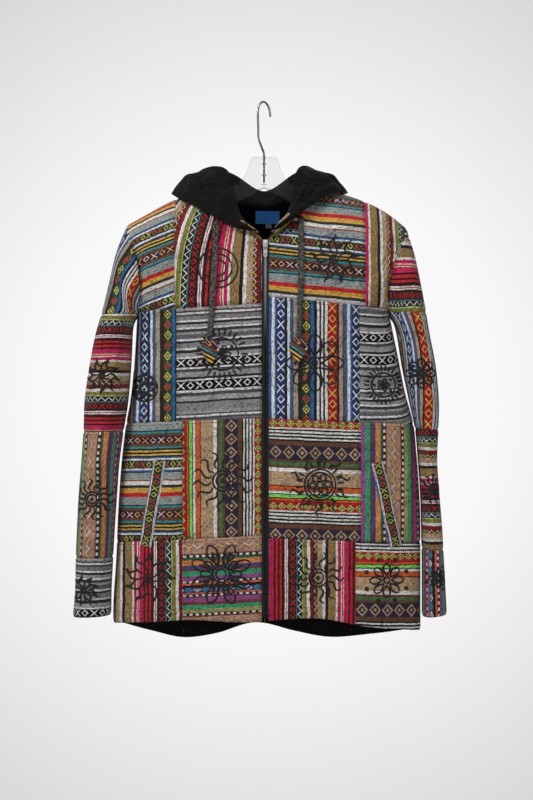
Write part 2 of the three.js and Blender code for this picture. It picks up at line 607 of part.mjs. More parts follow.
const NEAR_UNDERARM = ARMHOLE_STEPS - 1;
const lastBack = back.length - 1;
const lastFront = FRONT_COLUMNS.length - 1;
for (const side of ['right', 'left']) {
  const fronts = frontNormals[side];
  const backs = backNormals[side === 'right' ? 0 : lastBack];
  fronts.forEach((column) => flatten(column[0], 'y'));
  for (let k = ARMHOLE_STEPS + 1; k <= ROWS; k += 1) {
    flatten(fronts[0][k], 'y');
    flatten(backs[k], 'y');
  }
  for (let k = 1; k < ARMHOLE_STEPS; k += 1) {
    meet(fronts[0][k], sleeveNormals[side][k][0]);
    meet(backs[k], sleeveNormals[side][2 * ARMHOLE_STEPS - k][0]);
  }
  flatten(backs[0], 'y');
  const tip = sleeveNormals[side][0][0];
  flatten(tip, 'y');
  meet(fronts[0][0], backs[0], tip);
  [fronts[0][ARMHOLE_STEPS], backs[ARMHOLE_STEPS], sleeveNormals[side][ARMHOLE_STEPS][0]]
    .forEach((n) => n.set(0, 0, -1));
  [fronts[0][NEAR_UNDERARM], sleeveNormals[side][NEAR_UNDERARM][0]].forEach((n) => n.set(0, -0.8, -0.6));
  const nearBehind = 2 * ARMHOLE_STEPS - NEAR_UNDERARM;
  [backs[NEAR_UNDERARM], sleeveNormals[side][nearBehind][0]].forEach((n) => n.set(0, 0.8, -0.6));
}
const shoulderColumns = BACK_SHOULDER_COLUMNS.length - 1;
back.forEach((column, i) => {
  if (i <= shoulderColumns || i >= lastBack - shoulderColumns) flatten(backNormals[i][0], 'y');
});

// The neck seam: normals lean halfway between the body and the hood that stands on it.
function leanOut(normal, point) {
  const out = v3(point.x, point.y, 0).normalize();
  normal.add(out).normalize();
}
const neckSeam = [];
for (let k = NECK_STEPS; k >= 1; k -= 1) {
  leanOut(frontNormals.right[lastFront][k], frontGrids.right[lastFront][k]);
  neckSeam.push({ point: frontGrids.right[lastFront][k], normal: frontNormals.right[lastFront][k] });
}
for (let k = 0; k <= BACK_NECK_STEPS; k += 1) {
  const normal = backNormals[shoulderColumns + k][0];
  const point = backNeckPoint(k);
  leanOut(normal, point);
  neckSeam.push({ point, normal });
}
for (let k = 1; k <= NECK_STEPS; k += 1) {
  leanOut(frontNormals.left[lastFront][k], frontGrids.left[lastFront][k]);
  neckSeam.push({ point: frontGrids.left[lastFront][k], normal: frontNormals.left[lastFront][k] });
}
frontNormals.right[lastFront][0].copy(backNormals[shoulderColumns][0]);
frontNormals.left[lastFront][0].copy(backNormals[lastBack - shoulderColumns][0]);

function addCloth(name, grid, normals, colour, closed = false) {
  addPiece(name, wall(grid, shifted(grid, normals, -CLOTH), closed), colour, 'cloth');
}
addCloth('front_panel_right', frontGrids.right, frontNormals.right, COLOURS.patchwork);
addCloth('front_panel_left', frontGrids.left, frontNormals.left, COLOURS.patchwork);
addCloth('back_panel', back, backNormals, COLOURS.patchwork);
for (const side of ['right', 'left']) {
  for (const tube of SLEEVE_TUBES) {
    const cut = sleeveGrids[side].map((column) => {
      const points = column.slice(tube.first, tube.last + 1);
      const start = points[0].clone();
      if (tube.first > 0) start.lerp(points[1], SEAM_GAP / start.distanceTo(points[1]));
      return [start, ...points.slice(1)];
    });
    const normals = sleeveNormals[side].map((column) => column.slice(tube.first, tube.last + 1));
    addCloth(`sleeve_${side}_${tube.name}`, cut, normals, COLOURS.patchwork, true);
  }
}

// The body lining follows each panel a little way in, tight at the neck and hem, on fewer rows.
const LINING_ROWS = [0, 1, 2, 4, 6, 8, 11, 14, 17, 20, 21, 22];
const LINING_HEM = 0.72;
const LINING_ZIP = 12.5;
// Over how many columns or what share of its length the lining comes away from each edge of its panel.
const LINING_EASE = { zip: 3, top: 6, hem: 8, side: 2, sideStart: 0.3 };

function liningLayers(grid, normals, zipSide) {
  const last = grid.length - 1;
  const base = [];
  const baseNormals = [];
  grid.forEach((column, i) => {
    const points = [];
    const dirs = [];
    for (const k of LINING_ROWS) {
      let p = column[k];
      let n = normals[i][k];
      if (k === ROWS) {
        p = column[k - 1].clone().lerp(column[k], LINING_HEM);
        n = normals[i][k - 1].clone().lerp(normals[i][k], LINING_HEM).normalize();
      }
      if (zipSide && i === last && k >= NECK_STEPS - 1) {
        const before = grid[last - 1][k];
        const reach = Math.abs(p.x - before.x);
        p = before.clone().lerp(p, (reach - LINING_ZIP) / reach);
      }
      const atSide = k === ARMHOLE_STEPS && (i === 0 || (!zipSide && i === last));
      if (atSide) n = v3(Math.sign(p.x), 0, 0);
      points.push(p);
      dirs.push(n);
    }
    base.push(points);
    baseNormals.push(dirs);
  });
  const slack = (i, j) => {
    const down = LINING_ROWS[j] / ROWS;
    const ease = LINING_EASE;
    const across = zipSide ? (last - i) / ease.zip : 1;
    const atSide = i / ease.side + ease.sideStart;
    const edge = Math.min(1, down * ease.top, (1 - down) * ease.hem, across, atSide);
    return -CLOTH - LAYER_GAP - LINING_SLACK * smooth(edge);
  };
  const outer = shifted(base, baseNormals, slack);
  const inner = shifted(base, baseNormals, (i, j) => slack(i, j) - LINING);
  return { outer, inner };
}
function addLining(name, grid, normals, zipSide) {
  const layers = liningLayers(grid, normals, zipSide);
  addPiece(name, wall(layers.outer, layers.inner), COLOURS.lining, 'cloth');
  return layers;
}
addLining('lining_right', frontGrids.right, frontNormals.right, true);
addLining('lining_left', frontGrids.left, frontNormals.left, true);
const backLining = addLining('lining_back', back, backNormals, false);

// The hood: a section of cloth for each point of the neck seam, from the seam over the crest to the rim.
function hoodSection(seam, rail) {
  const start = seam.point.clone().addScaledVector(seam.normal, -HOOD_CLOTH).add(v3(0, 0, SEAM_GAP));
  const crest = v3(rail.crestX, rail.crestY, rail.crestZ);
  const rim = v3(rail.rimX, rail.rimY, rail.rimZ);
  const bottom = crest.clone().lerp(rim, 0.5);
  const across = v3(rim.x - crest.x, rim.y - crest.y, 0).normalize();
  const hangs = smooth(rail.pouch / FULL_POUCH);
  bottom.z = mix(bottom.z, Math.min(crest.z, rim.z) - rail.pouch, hangs);
  const puff = HOOD_PUFF * (1 - hangs);
  const puffed = puff * PUFF_SHARE.bottom;
  bottom.addScaledVector(across, puffed).add(v3(0, 0, puffed));
  const sink = rail.pouch * POUCH_SINK.share;
  const descent = crest.clone().lerp(bottom, HOOD_BEND.descent)
    .addScaledVector(across, puff * PUFF_SHARE.descent - sink * POUCH_SINK.crestSide);
  const ascent = bottom.clone().lerp(rim, HOOD_BEND.ascent)
    .addScaledVector(across, puff * PUFF_SHARE.ascent + sink * POUCH_SINK.rimSide);
  const rise = start.clone().lerp(crest, HOOD_BEND.rise).addScaledVector(across, HOOD_BEND.lean);
  const bends = [start, rise, crest, descent, bottom, ascent, rim];
  const curve = new THREE.CatmullRomCurve3(bends, false, 'centripetal');
  return rail.pouch > FULL_POUCH ? curve.getPoints(HOOD_STEPS) : curve.getSpacedPoints(HOOD_STEPS);
}
const rails = [...HOOD_RAILS.right, ...HOOD_RAILS.left.slice(0, -1).reverse()];
const hoodGrid = neckSeam.map((seam, i) => hoodSection(seam, rails[i]));
const hoodNormals = gridNormals(hoodGrid, false, () => v3(0, 1, 0));
neckSeam.forEach((seam, i) => hoodNormals[i][0].copy(seam.normal));
addPiece('hood', wall(shifted(hoodGrid, hoodNormals, HOOD_CLOTH), hoodGrid), COLOURS.hood, 'cloth');
addPiece('hood_lining', wall(
  shifted(hoodGrid, hoodNormals, -LAYER_GAP),
  shifted(hoodGrid, hoodNormals, -LAYER_GAP - LINING),
), COLOURS.lining, 'cloth');

// The y of a grid's surface at a place seen from the front, on the same triangles as its wall.
function surfaceY(grid, x, z) {
  const inTriangle = (a, b, c) => {
    const area = (b.x - a.x) * (c.z - a.z) - (c.x - a.x) * (b.z - a.z);
    const u = ((x - a.x) * (c.z - a.z) - (c.x - a.x) * (z - a.z)) / area;
    const v = ((b.x - a.x) * (z - a.z) - (x - a.x) * (b.z - a.z)) / area;
    const inside = Math.min(u, v, 1 - u - v) >= -1e-9;
    return inside ? a.y + u * (b.y - a.y) + v * (c.y - a.y) : null;
  };
  for (let i = 0; i < grid.length - 1; i += 1) {
    for (let j = 0; j < grid[0].length - 1; j += 1) {
      const [a, b, c, d] = [grid[i][j], grid[i + 1][j], grid[i + 1][j + 1], grid[i][j + 1]];
      const y = inTriangle(a, b, c) ?? inTriangle(a, c, d);
      if (y !== null) return y;
    }
  }
  throw new Error(`no cloth at ${x}, ${z}`);
}

// Points of a strip that lies along z, one column for each x, with y from a function of x and z.
function stripGrid(xs, zs, yAt) {
  return xs.map((x) => zs.map((z) => v3(x, yAt(x, z), z)));
}

// A flat plate: an outline in x and z, from yBack forwards by its depth.
function plate(shape, depth, yBack) {
  return new THREE.ExtrudeGeometry(shape, { depth, bevelEnabled: false, curveSegments: 6 })
    .rotateX(Math.PI / 2).translate(0, yBack, 0);
}

function shapeOf(points) {
  return new THREE.Shape(points.map(([x, z]) => new THREE.Vector2(x, z)));
}

function rectangle(left, right, low, high) {
  return shapeOf([[left, low], [right, low], [right, high], [left, high]]);
}

// The zip. Its tapes lie behind the fronts' edges, and the chain closes the space between them.
const zipEdgeY = (z) => surfaceY(frontGrids.right, ZIP_EDGE.right - EDGE_PROBE, z);
const tapeY = (z) => zipEdgeY(z) + CLOTH + TAPE_DEPTH;
const chainFrontY = (z) => tapeY(z) - (CHAIN_THICK - TAPE_THICK) / 2;
function zipHeights(top) {
  return Array.from({ length: SIDE_STEPS + 1 }, (_, i) => mix(top, ZIP_END_Z, i / SIDE_STEPS));
}
for (const side of ['right', 'left']) {
  const outwards = side === 'right' ? -1 : 1;
  const innerX = CHAIN_CENTRE + outwards * (CHAIN_WIDTH / 2 + SEAM_GAP);
  const clothX = ZIP_EDGE[side] + outwards * EDGE_PROBE;
  const y = (x, z) => {
    const overCloth = outwards * (x - clothX) > 0;
    return surfaceY(frontGrids[side], overCloth ? x : clothX, z) + CLOTH + TAPE_DEPTH;
  };
  const xs = [innerX, innerX + outwards * TAPE_WIDTH];
  const heights = zipHeights(ZIP_TOP_Z - 1);
  const tape = wall(stripGrid(xs, heights, y), stripGrid(xs, heights, (x, z) => y(x, z) + TAPE_THICK));
  addPiece(`zip_tape_${side}`, tape, COLOURS.tape, 'cloth');
}
const chainXs = [CHAIN_CENTRE - CHAIN_WIDTH / 2, CHAIN_CENTRE + CHAIN_WIDTH / 2];
const chainHeights = zipHeights(CHAIN_TOP_Z);
addPiece('zip_chain', wall(
  stripGrid(chainXs, chainHeights, (x, z) => chainFrontY(z)),
  stripGrid(chainXs, chainHeights, (x, z) => chainFrontY(z) + CHAIN_THICK),
), COLOURS.metal, 'metal');

// The slider: two plates joined by a post, with a bridge on its front that carries the pull.
const sliderFoot = SLIDER.top - SLIDER.tall;
const plateBackY = chainFrontY(sliderFoot) - SLIDER.gap;
const plateFrontY = plateBackY - SLIDER.plate;
const rearFrontY = chainFrontY(sliderFoot) + CHAIN_THICK + SLIDER.gap;
const sliderHalf = SLIDER.wide / 2;
const sliderWaistZ = SLIDER.top - SLIDER.tall * SLIDER.taper;
const sliderFootHalf = SLIDER.wide * SLIDER.footHalf;
const sliderShape = shapeOf([
  [CHAIN_CENTRE - sliderHalf, SLIDER.top], [CHAIN_CENTRE + sliderHalf, SLIDER.top],
  [CHAIN_CENTRE + sliderHalf, sliderWaistZ], [CHAIN_CENTRE + sliderFootHalf, sliderFoot],
  [CHAIN_CENTRE - sliderFootHalf, sliderFoot], [CHAIN_CENTRE - sliderHalf, sliderWaistZ],
]);
const postHalf = POST.wide / 2;
const postFoot = CHAIN_TOP_Z + POST.above;
const post = plate(
  rectangle(CHAIN_CENTRE - postHalf, CHAIN_CENTRE + postHalf, postFoot, SLIDER.top - POST.below),
  rearFrontY - plateBackY + 2 * POST.bury,
  rearFrontY + POST.bury,
);
const bridgeTop = SLIDER.top - BRIDGE.drop;
const bridgeFoot = bridgeTop - BRIDGE.tall;
const bridgeFrontY = plateFrontY - BRIDGE.out;
const holeFrontY = bridgeFrontY + BRIDGE.thick;
const bridgeOutline = shapeOf([
  [plateFrontY + BRIDGE.bury, bridgeFoot], [bridgeFrontY + BRIDGE_CORNER.foot, bridgeFoot],
  [bridgeFrontY, bridgeFoot + BRIDGE_CORNER.toe], [bridgeFrontY, bridgeTop - BRIDGE_CORNER.brow],
  [bridgeFrontY + BRIDGE.drop, bridgeTop], [plateFrontY + BRIDGE.bury, bridgeTop],
]);
bridgeOutline.holes.push(new THREE.Path([
  [plateFrontY, bridgeTop - BRIDGE.thick], [holeFrontY, bridgeTop - BRIDGE.thick - BRIDGE_CORNER.foot],
  [holeFrontY, bridgeFoot + BRIDGE.thick], [plateFrontY, bridgeFoot + BRIDGE.thick],
].map(([y, z]) => new THREE.Vector2(y, z))));
const bridge = new THREE.ExtrudeGeometry(bridgeOutline, { depth: BRIDGE.wide, bevelEnabled: false })
  .rotateX(Math.PI / 2).rotateZ(Math.PI / 2).translate(CHAIN_CENTRE - BRIDGE.wide / 2, 0, 0);
const slider = [
  plate(sliderShape, SLIDER.plate, plateBackY),
  plate(sliderShape, SLIDER.plate, rearFrontY + SLIDER.plate),
  post,
  bridge,
].map(toManifold).reduce((sum, piece) => sum.add(piece));
addPiece('zip_slider', fromManifold(slider), COLOURS.metal, 'metal');

// The pull tab hangs by its crossbar in the bridge.
const barY = plateFrontY - (BRIDGE.out - BRIDGE.thick) / 2;
const barZ = bridgeFoot + BRIDGE.thick + PULL_GAP + PULL.bar / 2;
const pullTop = barZ + PULL.bar / 2;
const pullFoot = pullTop - PULL.long;
const pullHalf = PULL.wide / 2;
const pullFootHalf = pullHalf - PULL_CORNER;
const pullShape = shapeOf([
  [CHAIN_CENTRE - pullHalf, pullTop], [CHAIN_CENTRE + pullHalf, pullTop],
  [CHAIN_CENTRE + pullHalf, pullFoot + PULL_CORNER], [CHAIN_CENTRE + pullFootHalf, pullFoot],
  [CHAIN_CENTRE - pullFootHalf, pullFoot], [CHAIN_CENTRE - pullHalf, pullFoot + PULL_CORNER],
]);
const slot = rectangle(
  CHAIN_CENTRE - PULL.slotWide / 2,
  CHAIN_CENTRE + PULL.slotWide / 2,
  barZ - PULL.slotLong,
  barZ - PULL.bar / 2,
);
const pullHole = new THREE.Path().absarc(CHAIN_CENTRE, pullFoot + PULL_HOLE_UP, PULL.hole, 0, 2 * Math.PI);
pullShape.holes.push(new THREE.Path(slot.getPoints()), pullHole);
addPiece('zip_pull', plate(pullShape, PULL.thick, barY + PULL.thick / 2), COLOURS.metal, 'metal');

// Pocket welts, laid on the fronts.
for (const side of ['right', 'left']) {
  const welt = WELTS[side];
  const along = new THREE.Vector2(welt.endX - welt.topX, welt.endZ - welt.topZ).normalize();
  const grid = [-1, -0.33, 0.33, 1].map((across) => (
    Array.from({ length: WELT_STEPS }, (_, j) => {
      const t = j / (WELT_STEPS - 1);
      const x = mix(welt.topX, welt.endX, t) - along.y * across * WELT_WIDE / 2;
      const z = mix(welt.topZ, welt.endZ, t) + along.x * across * WELT_WIDE / 2;
      return v3(x, surfaceY(frontGrids[side], x, z) - WELT_GAP, z);
    })
  ));
  const front = grid.map((column) => column.map((p) => p.clone().add(v3(0, -WELT_THICK, 0))));
  addPiece(`pocket_welt_${side}`, wall(front, grid), COLOURS.welt, 'cloth');
}

// Drawstrings and the folded tabs sewn on their ends.
for (const side of ['right', 'left']) {
  const cord = CORDS[side];
  const hangY = (x, z) => surfaceY(frontGrids[side], x, z) - CORD_THICK / 2 - CORD_GAP;
  const points = Array.from({ length: CORD_POINTS }, (_, i) => {
    const t = i / (CORD_POINTS - 1);
    const z = mix(cord.topZ, cord.endZ, t);
    const upper = mix(cord.topX, cord.midX, Math.min(1, 2 * t));
    const x = i < 2 ? cord.topX : mix(upper, cord.endX, Math.max(0, 2 * t - 1));
    return v3(x, hangY(x, z) - (i === 0 ? CORD_GAP : 0), z);
  });
  const section = new THREE.Shape();
  for (let i = 0; i < CORD_SIDES; i += 1) {
    const angle = (2 * Math.PI * (i + 0.5)) / CORD_SIDES;
    const at = [Math.cos(angle) * CORD_WIDE / 2, Math.sin(angle) * CORD_THICK / 2];
    if (i === 0) section.moveTo(...at);
    else section.lineTo(...at);
  }
  const route = new THREE.CatmullRomCurve3(points);
  const sweep = { steps: CORD_STEPS, extrudePath: route, bevelEnabled: false };
  addPiece(`drawstring_${side}`, new THREE.ExtrudeGeometry(section, sweep), COLOURS.cord, 'cloth');
  const tabHalf = TAB.wide / 2;
  const waistZ = -TAB.shoulder - TAB.waist;
  const kite = shapeOf([
    [-TAB.neck / 2, 0], [TAB.neck / 2, 0], [tabHalf, -TAB.shoulder], [tabHalf - TAB.narrow, waistZ],
    [TAB.narrow, -TAB.long], [-TAB.narrow, -TAB.long],
    [-tabHalf + TAB.narrow, waistZ], [-tabHalf, -TAB.shoulder],
  ]);
  const low = points[points.length - 1];
  const folded = plate(kite, TAB.thick, TAB.thick / 2);
  const tab = addPiece(`drawstring_tab_${side}`, folded, COLOURS.cordTab, 'cloth');
  tab.rotation.y = THREE.MathUtils.degToRad(cord.tabTurn);
  tab.position.set(low.x, low.y - 1, low.z - 1);
}

// The neck label and the size tab, sewn to the lining of the back.
function addLabel(name, label, colour) {
  const xs = [-0.5, 0, 0.5].map((t) => label.x + t * label.wide);
  const zs = [0.5, 0, -0.5].map((t) => label.z + t * label.tall);
  const y = (x, z) => surfaceY(backLining.inner, x, z) - LABEL_GAP;
  const front = stripGrid(xs, zs, (x, z) => y(x, z) - label.thick);
  addPiece(name, wall(front, stripGrid(xs, zs, y)), colour, 'cloth');
}
addLabel('neck_label', LABEL, COLOURS.label);
addLabel('size_tab', SIZE_TAB, COLOURS.tab);

// The hanger's plastic plate: its outline drawn in by an inset, for the thin web between its thick edges.
function armTop(x) {
  if (x < FRAME.neckHalf) return FRAME.neckZ;
  const cloth = Math.min(look(SHOULDER_LINE, 'x', 'z', x), look(SHOULDER_LINE, 'x', 'z', -x));
  return mix(FRAME.neckZ, cloth - ARM_BELOW_CLOTH, Math.min(1, (x - FRAME.neckHalf) / ARM_BLEND));
}

function frameShape(inset) {
  const armXs = [FRAME.neckHalf, ...ARM_XS, FRAME.armHalf - inset];
  const half = [
    [FRAME.topHalf - TOP_CORNER.across - inset, FRAME.topZ - inset],
    [FRAME.topHalf - inset, FRAME.topZ - TOP_CORNER.down - inset],
    [FRAME.topHalf + FLARE.across - inset, FRAME.topZ - FLARE.down],
    [FRAME.neckHalf - FLARE.neckAcross - inset, FRAME.neckZ + FLARE.neckUp],
  ];
  armXs.forEach((x) => half.push([x, armTop(x) - inset]));
  [...armXs].reverse().forEach((x) => {
    const out = (x - FRAME.neckHalf) / (FRAME.armHalf - FRAME.neckHalf);
    const foot = x === FRAME.neckHalf ? NECK_FOOT : 0;
    half.push([x, armTop(x) - mix(ARM_DEPTH, FRAME.armTip, out) + inset - foot]);
  });
  const peak = [0, FRAME.peakZ + inset];
  const mirrored = [...half].reverse().map(([x, z]) => [-x, z]);
  return shapeOf([...half, peak, ...mirrored]);
}

// A box on the hanger's middle line that cuts right through the plate.
function cutter(wide, tall, middleZ) {
  return toManifold(new THREE.BoxGeometry(wide, 3 * FRAME_THICK, tall).translate(0, 0, middleZ));
}
const pocketDeep = (FRAME_THICK - WEB_THICK) / 2;
const rib = cutter(2 * RIB_HALF, RIB_TALL, (FRAME.topZ + FRAME.peakZ) / 2);
const pocket = (yBack) => toManifold(plate(frameShape(FLANGE), pocketDeep, yBack)).subtract(rib);
const slotTop = FRAME.topZ - SLOT_ABOVE;
const slotFoot = HOOK.endZ - SLOT_BELOW;
const wireSlot = cutter(2 * SLOT_HALF, slotTop - slotFoot, (slotTop + slotFoot) / 2);
const holeRadius = WIRE / 2 + SHANK_CLEARANCE;
const shankHole = toManifold(
  new THREE.CylinderGeometry(holeRadius, holeRadius, SHANK_HOLE_TALL, 16)
    .rotateX(Math.PI / 2).translate(0, 0, FRAME.topZ),
);
const frame = toManifold(plate(frameShape(0), FRAME_THICK, FRAME_THICK / 2))
  .subtract(pocket(-FRAME_THICK / 2 + pocketDeep)).subtract(pocket(FRAME_THICK / 2))
  .subtract(wireSlot).subtract(shankHole);
addPiece('hanger_frame', fromManifold(frame), COLOURS.plastic, 'plastic');

// The wire hook: an open bend, a straight side, an elbow back to the middle, and a shank with two collars.
const hookTurn = THREE.MathUtils.degToRad(HOOK.turn);
const inHookPlane = (across, z) => v3(across * Math.cos(hookTurn), across * Math.sin(hookTurn), z);
const bendCentre = WIRE / 2 - HOOK.radius;
const hookPoints = [];
for (let i = 0; i <= HOOK.bendSteps; i += 1) {
  const angle = THREE.MathUtils.degToRad(mix(HOOK.endAngle, 180, i / HOOK.bendSteps));
  hookPoints.push(inHookPlane(HOOK.radius * Math.cos(angle), bendCentre + HOOK.radius * Math.sin(angle)));
}
HOOK_SIDE.forEach((p) => hookPoints.push(inHookPlane(p.across, p.z)));
const wireSection = new THREE.Shape().absarc(0, 0, WIRE / 2, 0, 2 * Math.PI);
const wire = new THREE.ExtrudeGeometry(wireSection, {
  steps: HOOK.steps,
  curveSegments: 4,
  extrudePath: new THREE.CatmullRomCurve3(hookPoints),
  bevelEnabled: false,
});
const collar = new THREE.CylinderGeometry(COLLAR.radius, COLLAR.radius, COLLAR.thick, 12)
  .rotateX(Math.PI / 2);
const hook = COLLARS.reduce(
  (solid, z) => solid.add(toManifold(collar.clone().translate(0, 0, z))),
  toManifold(wire),
);
addPiece('hanger_hook', fromManifold(hook), COLOURS.metal, 'metal');

export default jacket;
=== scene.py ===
import math

import bpy
import numpy as np
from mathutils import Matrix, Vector
from mathutils.bvhtree import BVHTree


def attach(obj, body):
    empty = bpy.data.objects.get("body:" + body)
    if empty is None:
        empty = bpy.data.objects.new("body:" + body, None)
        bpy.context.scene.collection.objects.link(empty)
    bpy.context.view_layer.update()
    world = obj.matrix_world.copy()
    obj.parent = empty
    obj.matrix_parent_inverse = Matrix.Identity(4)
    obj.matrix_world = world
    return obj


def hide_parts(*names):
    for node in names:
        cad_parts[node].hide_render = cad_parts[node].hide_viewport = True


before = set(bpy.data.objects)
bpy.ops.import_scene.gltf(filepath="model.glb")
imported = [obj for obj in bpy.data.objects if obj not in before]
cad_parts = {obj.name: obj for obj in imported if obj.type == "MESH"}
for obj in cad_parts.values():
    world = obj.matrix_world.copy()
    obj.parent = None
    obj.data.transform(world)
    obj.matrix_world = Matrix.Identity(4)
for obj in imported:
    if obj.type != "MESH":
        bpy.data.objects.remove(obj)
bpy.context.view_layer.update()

# The stage. The jacket hangs in front of a pale wall with soft light from the upper left and the front,
# seen square from the front at chest height.
MM = 0.001
CAMERA_AT = (4.3, -3500.0, -522.5)
LENS = 89.5
WALL_Y = 6000
FLOOR_Z = -1750
FLOOR_FRONT_AND_BACK = (-4000, 2300)
# The backdrop's painted glow: its colour in the middle, its painted shade at the corners, the distances in
# metres from its middle over which that shade comes in, and its half size in millimetres.
BACKDROP_GLOW = {"middle": "F9F8F9", "corner": "CCCCCC", "fade_from": 1.1, "fade_to": 2.7, "half": 3000}
SOFT_LIGHTS = [
    {"name": "key", "at": (-1700, -1500, 1100), "size": 0.6, "watts": 52},
    {"name": "fill", "at": (1600, -2300, -800), "size": 1.6, "watts": 19},
    {"name": "top", "at": (300, -700, 1500), "size": 1.0, "watts": 14},
]
SKY_STRENGTH = 0.19


def linear(hex_colour):
    """An sRGB hex colour as linear red, green, blue and full alpha."""
    parts = [int(hex_colour[i:i + 2], 16) / 255 for i in (0, 2, 4)]
    return tuple(c / 12.92 if c <= 0.04045 else ((c + 0.055) / 1.055) ** 2.4 for c in parts) + (1.0,)


class Shading:
    """A material in the making: its nodes and its surface shader, with short ways to add nodes."""

    def __init__(self, name, inputs=()):
        self.material = bpy.data.materials.new(name)
        self.material.use_nodes = True
        self.tree = self.material.node_tree
        self.tree.nodes.clear()
        self.surface = self.node("BsdfPrincipled", inputs)
        self.out = self.node("OutputMaterial", {"Surface": self.surface.outputs[0]})

    def link(self, made, inputs):
        """Sets a node's inputs, by name or number, to values or to sockets of other nodes."""
        for key, value in dict(inputs).items():
            if isinstance(value, bpy.types.NodeSocket):
                self.tree.links.new(value, made.inputs[key])
            else:
                made.inputs[key].default_value = value

    def node(self, kind, inputs=(), **settings):
        made = self.tree.nodes.new("ShaderNode" + kind)
        for key, value in settings.items():
            setattr(made, key, value)
        self.link(made, inputs)
        return made

    def sums(self, operation, *values):
        """The result of a maths node."""
        return self.node("Math", dict(enumerate(values)), operation=operation).outputs[0]

    def mix(self, share, first, second, **settings):
        """A blend of two colours."""
        return self.node("MixRGB", {0: share, 1: first, 2: second}, **settings).outputs[0]

    def spot(self):
        """The place on the object, in metres."""
        return self.node("TexCoord").outputs["Object"]

    def noise(self, place, scale, detail=2.0, distortion=0.0):
        return self.node("TexNoise", {"Vector": place, "Scale": scale, "Detail": detail,
                                      "Distortion": distortion}).outputs[0]

    def spread(self, value, low, high, to_low=0.0):
        """A value's place between two limits, from to_low to 1."""
        return self.node("MapRange", {"Value": value, "From Min": low, "From Max": high,
                                      "To Min": to_low}).outputs[0]

    def bump(self, height, distance, strength, below=None):
        """A normal tilted by a height, on top of the normal below."""
        inputs = {"Height": height, "Distance": distance, "Strength": strength}
        if below is not None:
            inputs["Normal"] = below
        return self.node("Bump", inputs).outputs[0]

    def ribs(self, axis, pitch, distance, strength):
        """A normal of fine ribs across an axis of the object, with their pitch in millimetres."""
        place = self.node("SeparateXYZ", {0: self.spot()}).outputs[axis]
        wave = self.sums("SINE", self.sums("MULTIPLY", place, 2 * math.pi / (pitch * MM)))
        return self.bump(wave, distance, strength)


def new_object(name, points, faces, materials, face_materials=None, uvs=None, smooth=True):
    """A mesh object from points in millimetres. uvs has a pair for each point."""
    mesh = bpy.data.meshes.new(name)
    mesh.from_pydata((np.asarray(points) * MM).tolist(), [], [list(f) for f in faces])
    for material in materials:
        mesh.materials.append(material)
    if face_materials is not None:
        mesh.polygons.foreach_set("material_index", np.asarray(face_materials, np.int32))
    if uvs is not None:
        layer = mesh.uv_layers.new(name="cloth")
        corners = np.zeros(len(mesh.loops), np.int32)
        mesh.loops.foreach_get("vertex_index", corners)
        layer.data.foreach_set("uv", np.asarray(uvs, np.float32)[corners].ravel())
    mesh.polygons.foreach_set("use_smooth", [smooth] * len(mesh.polygons))
    mesh.update()
    made = bpy.data.objects.new(name, mesh)
    bpy.context.scene.collection.objects.link(made)
    return made


camera_data = bpy.data.cameras.new("camera")
camera_data.sensor_width = 36
camera_data.lens = LENS
camera_data.clip_end = 50
camera = bpy.data.objects.new("camera", camera_data)
camera.location = Vector(CAMERA_AT) * MM
camera.rotation_euler = (math.radians(90), 0, 0)
bpy.context.scene.collection.objects.link(camera)
bpy.context.scene.camera = camera

for lamp in SOFT_LIGHTS:
    light_data = bpy.data.lights.new(lamp["name"], "AREA")
    light_data.shape = "DISK"
    light_data.size = lamp["size"]
    light_data.energy = lamp["watts"]
    light = bpy.data.objects.new(lamp["name"], light_data)
    light.location = Vector(lamp["at"]) * MM
    aim = Vector((0, 0, -500 * MM)) - light.location
    light.rotation_euler = aim.to_track_quat("-Z", "Y").to_euler()
    bpy.context.scene.collection.objects.link(light)
world = bpy.data.worlds.new("studio")
world.use_nodes = True
world.node_tree.nodes["Background"].inputs["Color"].default_value = linear("FFFFFF")
world.node_tree.nodes["Background"].inputs["Strength"].default_value = SKY_STRENGTH
bpy.context.scene.world = world
bpy.context.scene.view_settings.view_transform = "Standard"

# Pale paper: a far wall that glows by itself as painted light, with painted shade darkening it towards the
# picture's corners, and a pale matt floor.
paper = Shading("backdrop_glow_painted_corner_shade")
far = paper.node("VectorMath", {0: paper.spot()}, operation="LENGTH").outputs["Value"]
painted_corner_shade = paper.spread(far, BACKDROP_GLOW["fade_from"], BACKDROP_GLOW["fade_to"])
glow = paper.node("Emission", {"Color": paper.mix(painted_corner_shade, linear(BACKDROP_GLOW["middle"]), linear(BACKDROP_GLOW["corner"]))})
paper.link(paper.out, {"Surface": glow.outputs[0]})
sides = (-BACKDROP_GLOW["half"], BACKDROP_GLOW["half"])
wall = new_object("backdrop", [(x, 0, z) for z in sides for x in sides], [(0, 1, 3, 2)], [paper.material])
wall.location = Vector((CAMERA_AT[0], WALL_Y, CAMERA_AT[2])) * MM
floor_paint = Shading("floor_matt_paper", {"Base Color": linear("E8E8E8"), "Roughness": 0.95}).material
floor = new_object("floor", [(x, y, FLOOR_Z) for y in FLOOR_FRONT_AND_BACK for x in sides],
                   [(0, 1, 3, 2)], [floor_paint])

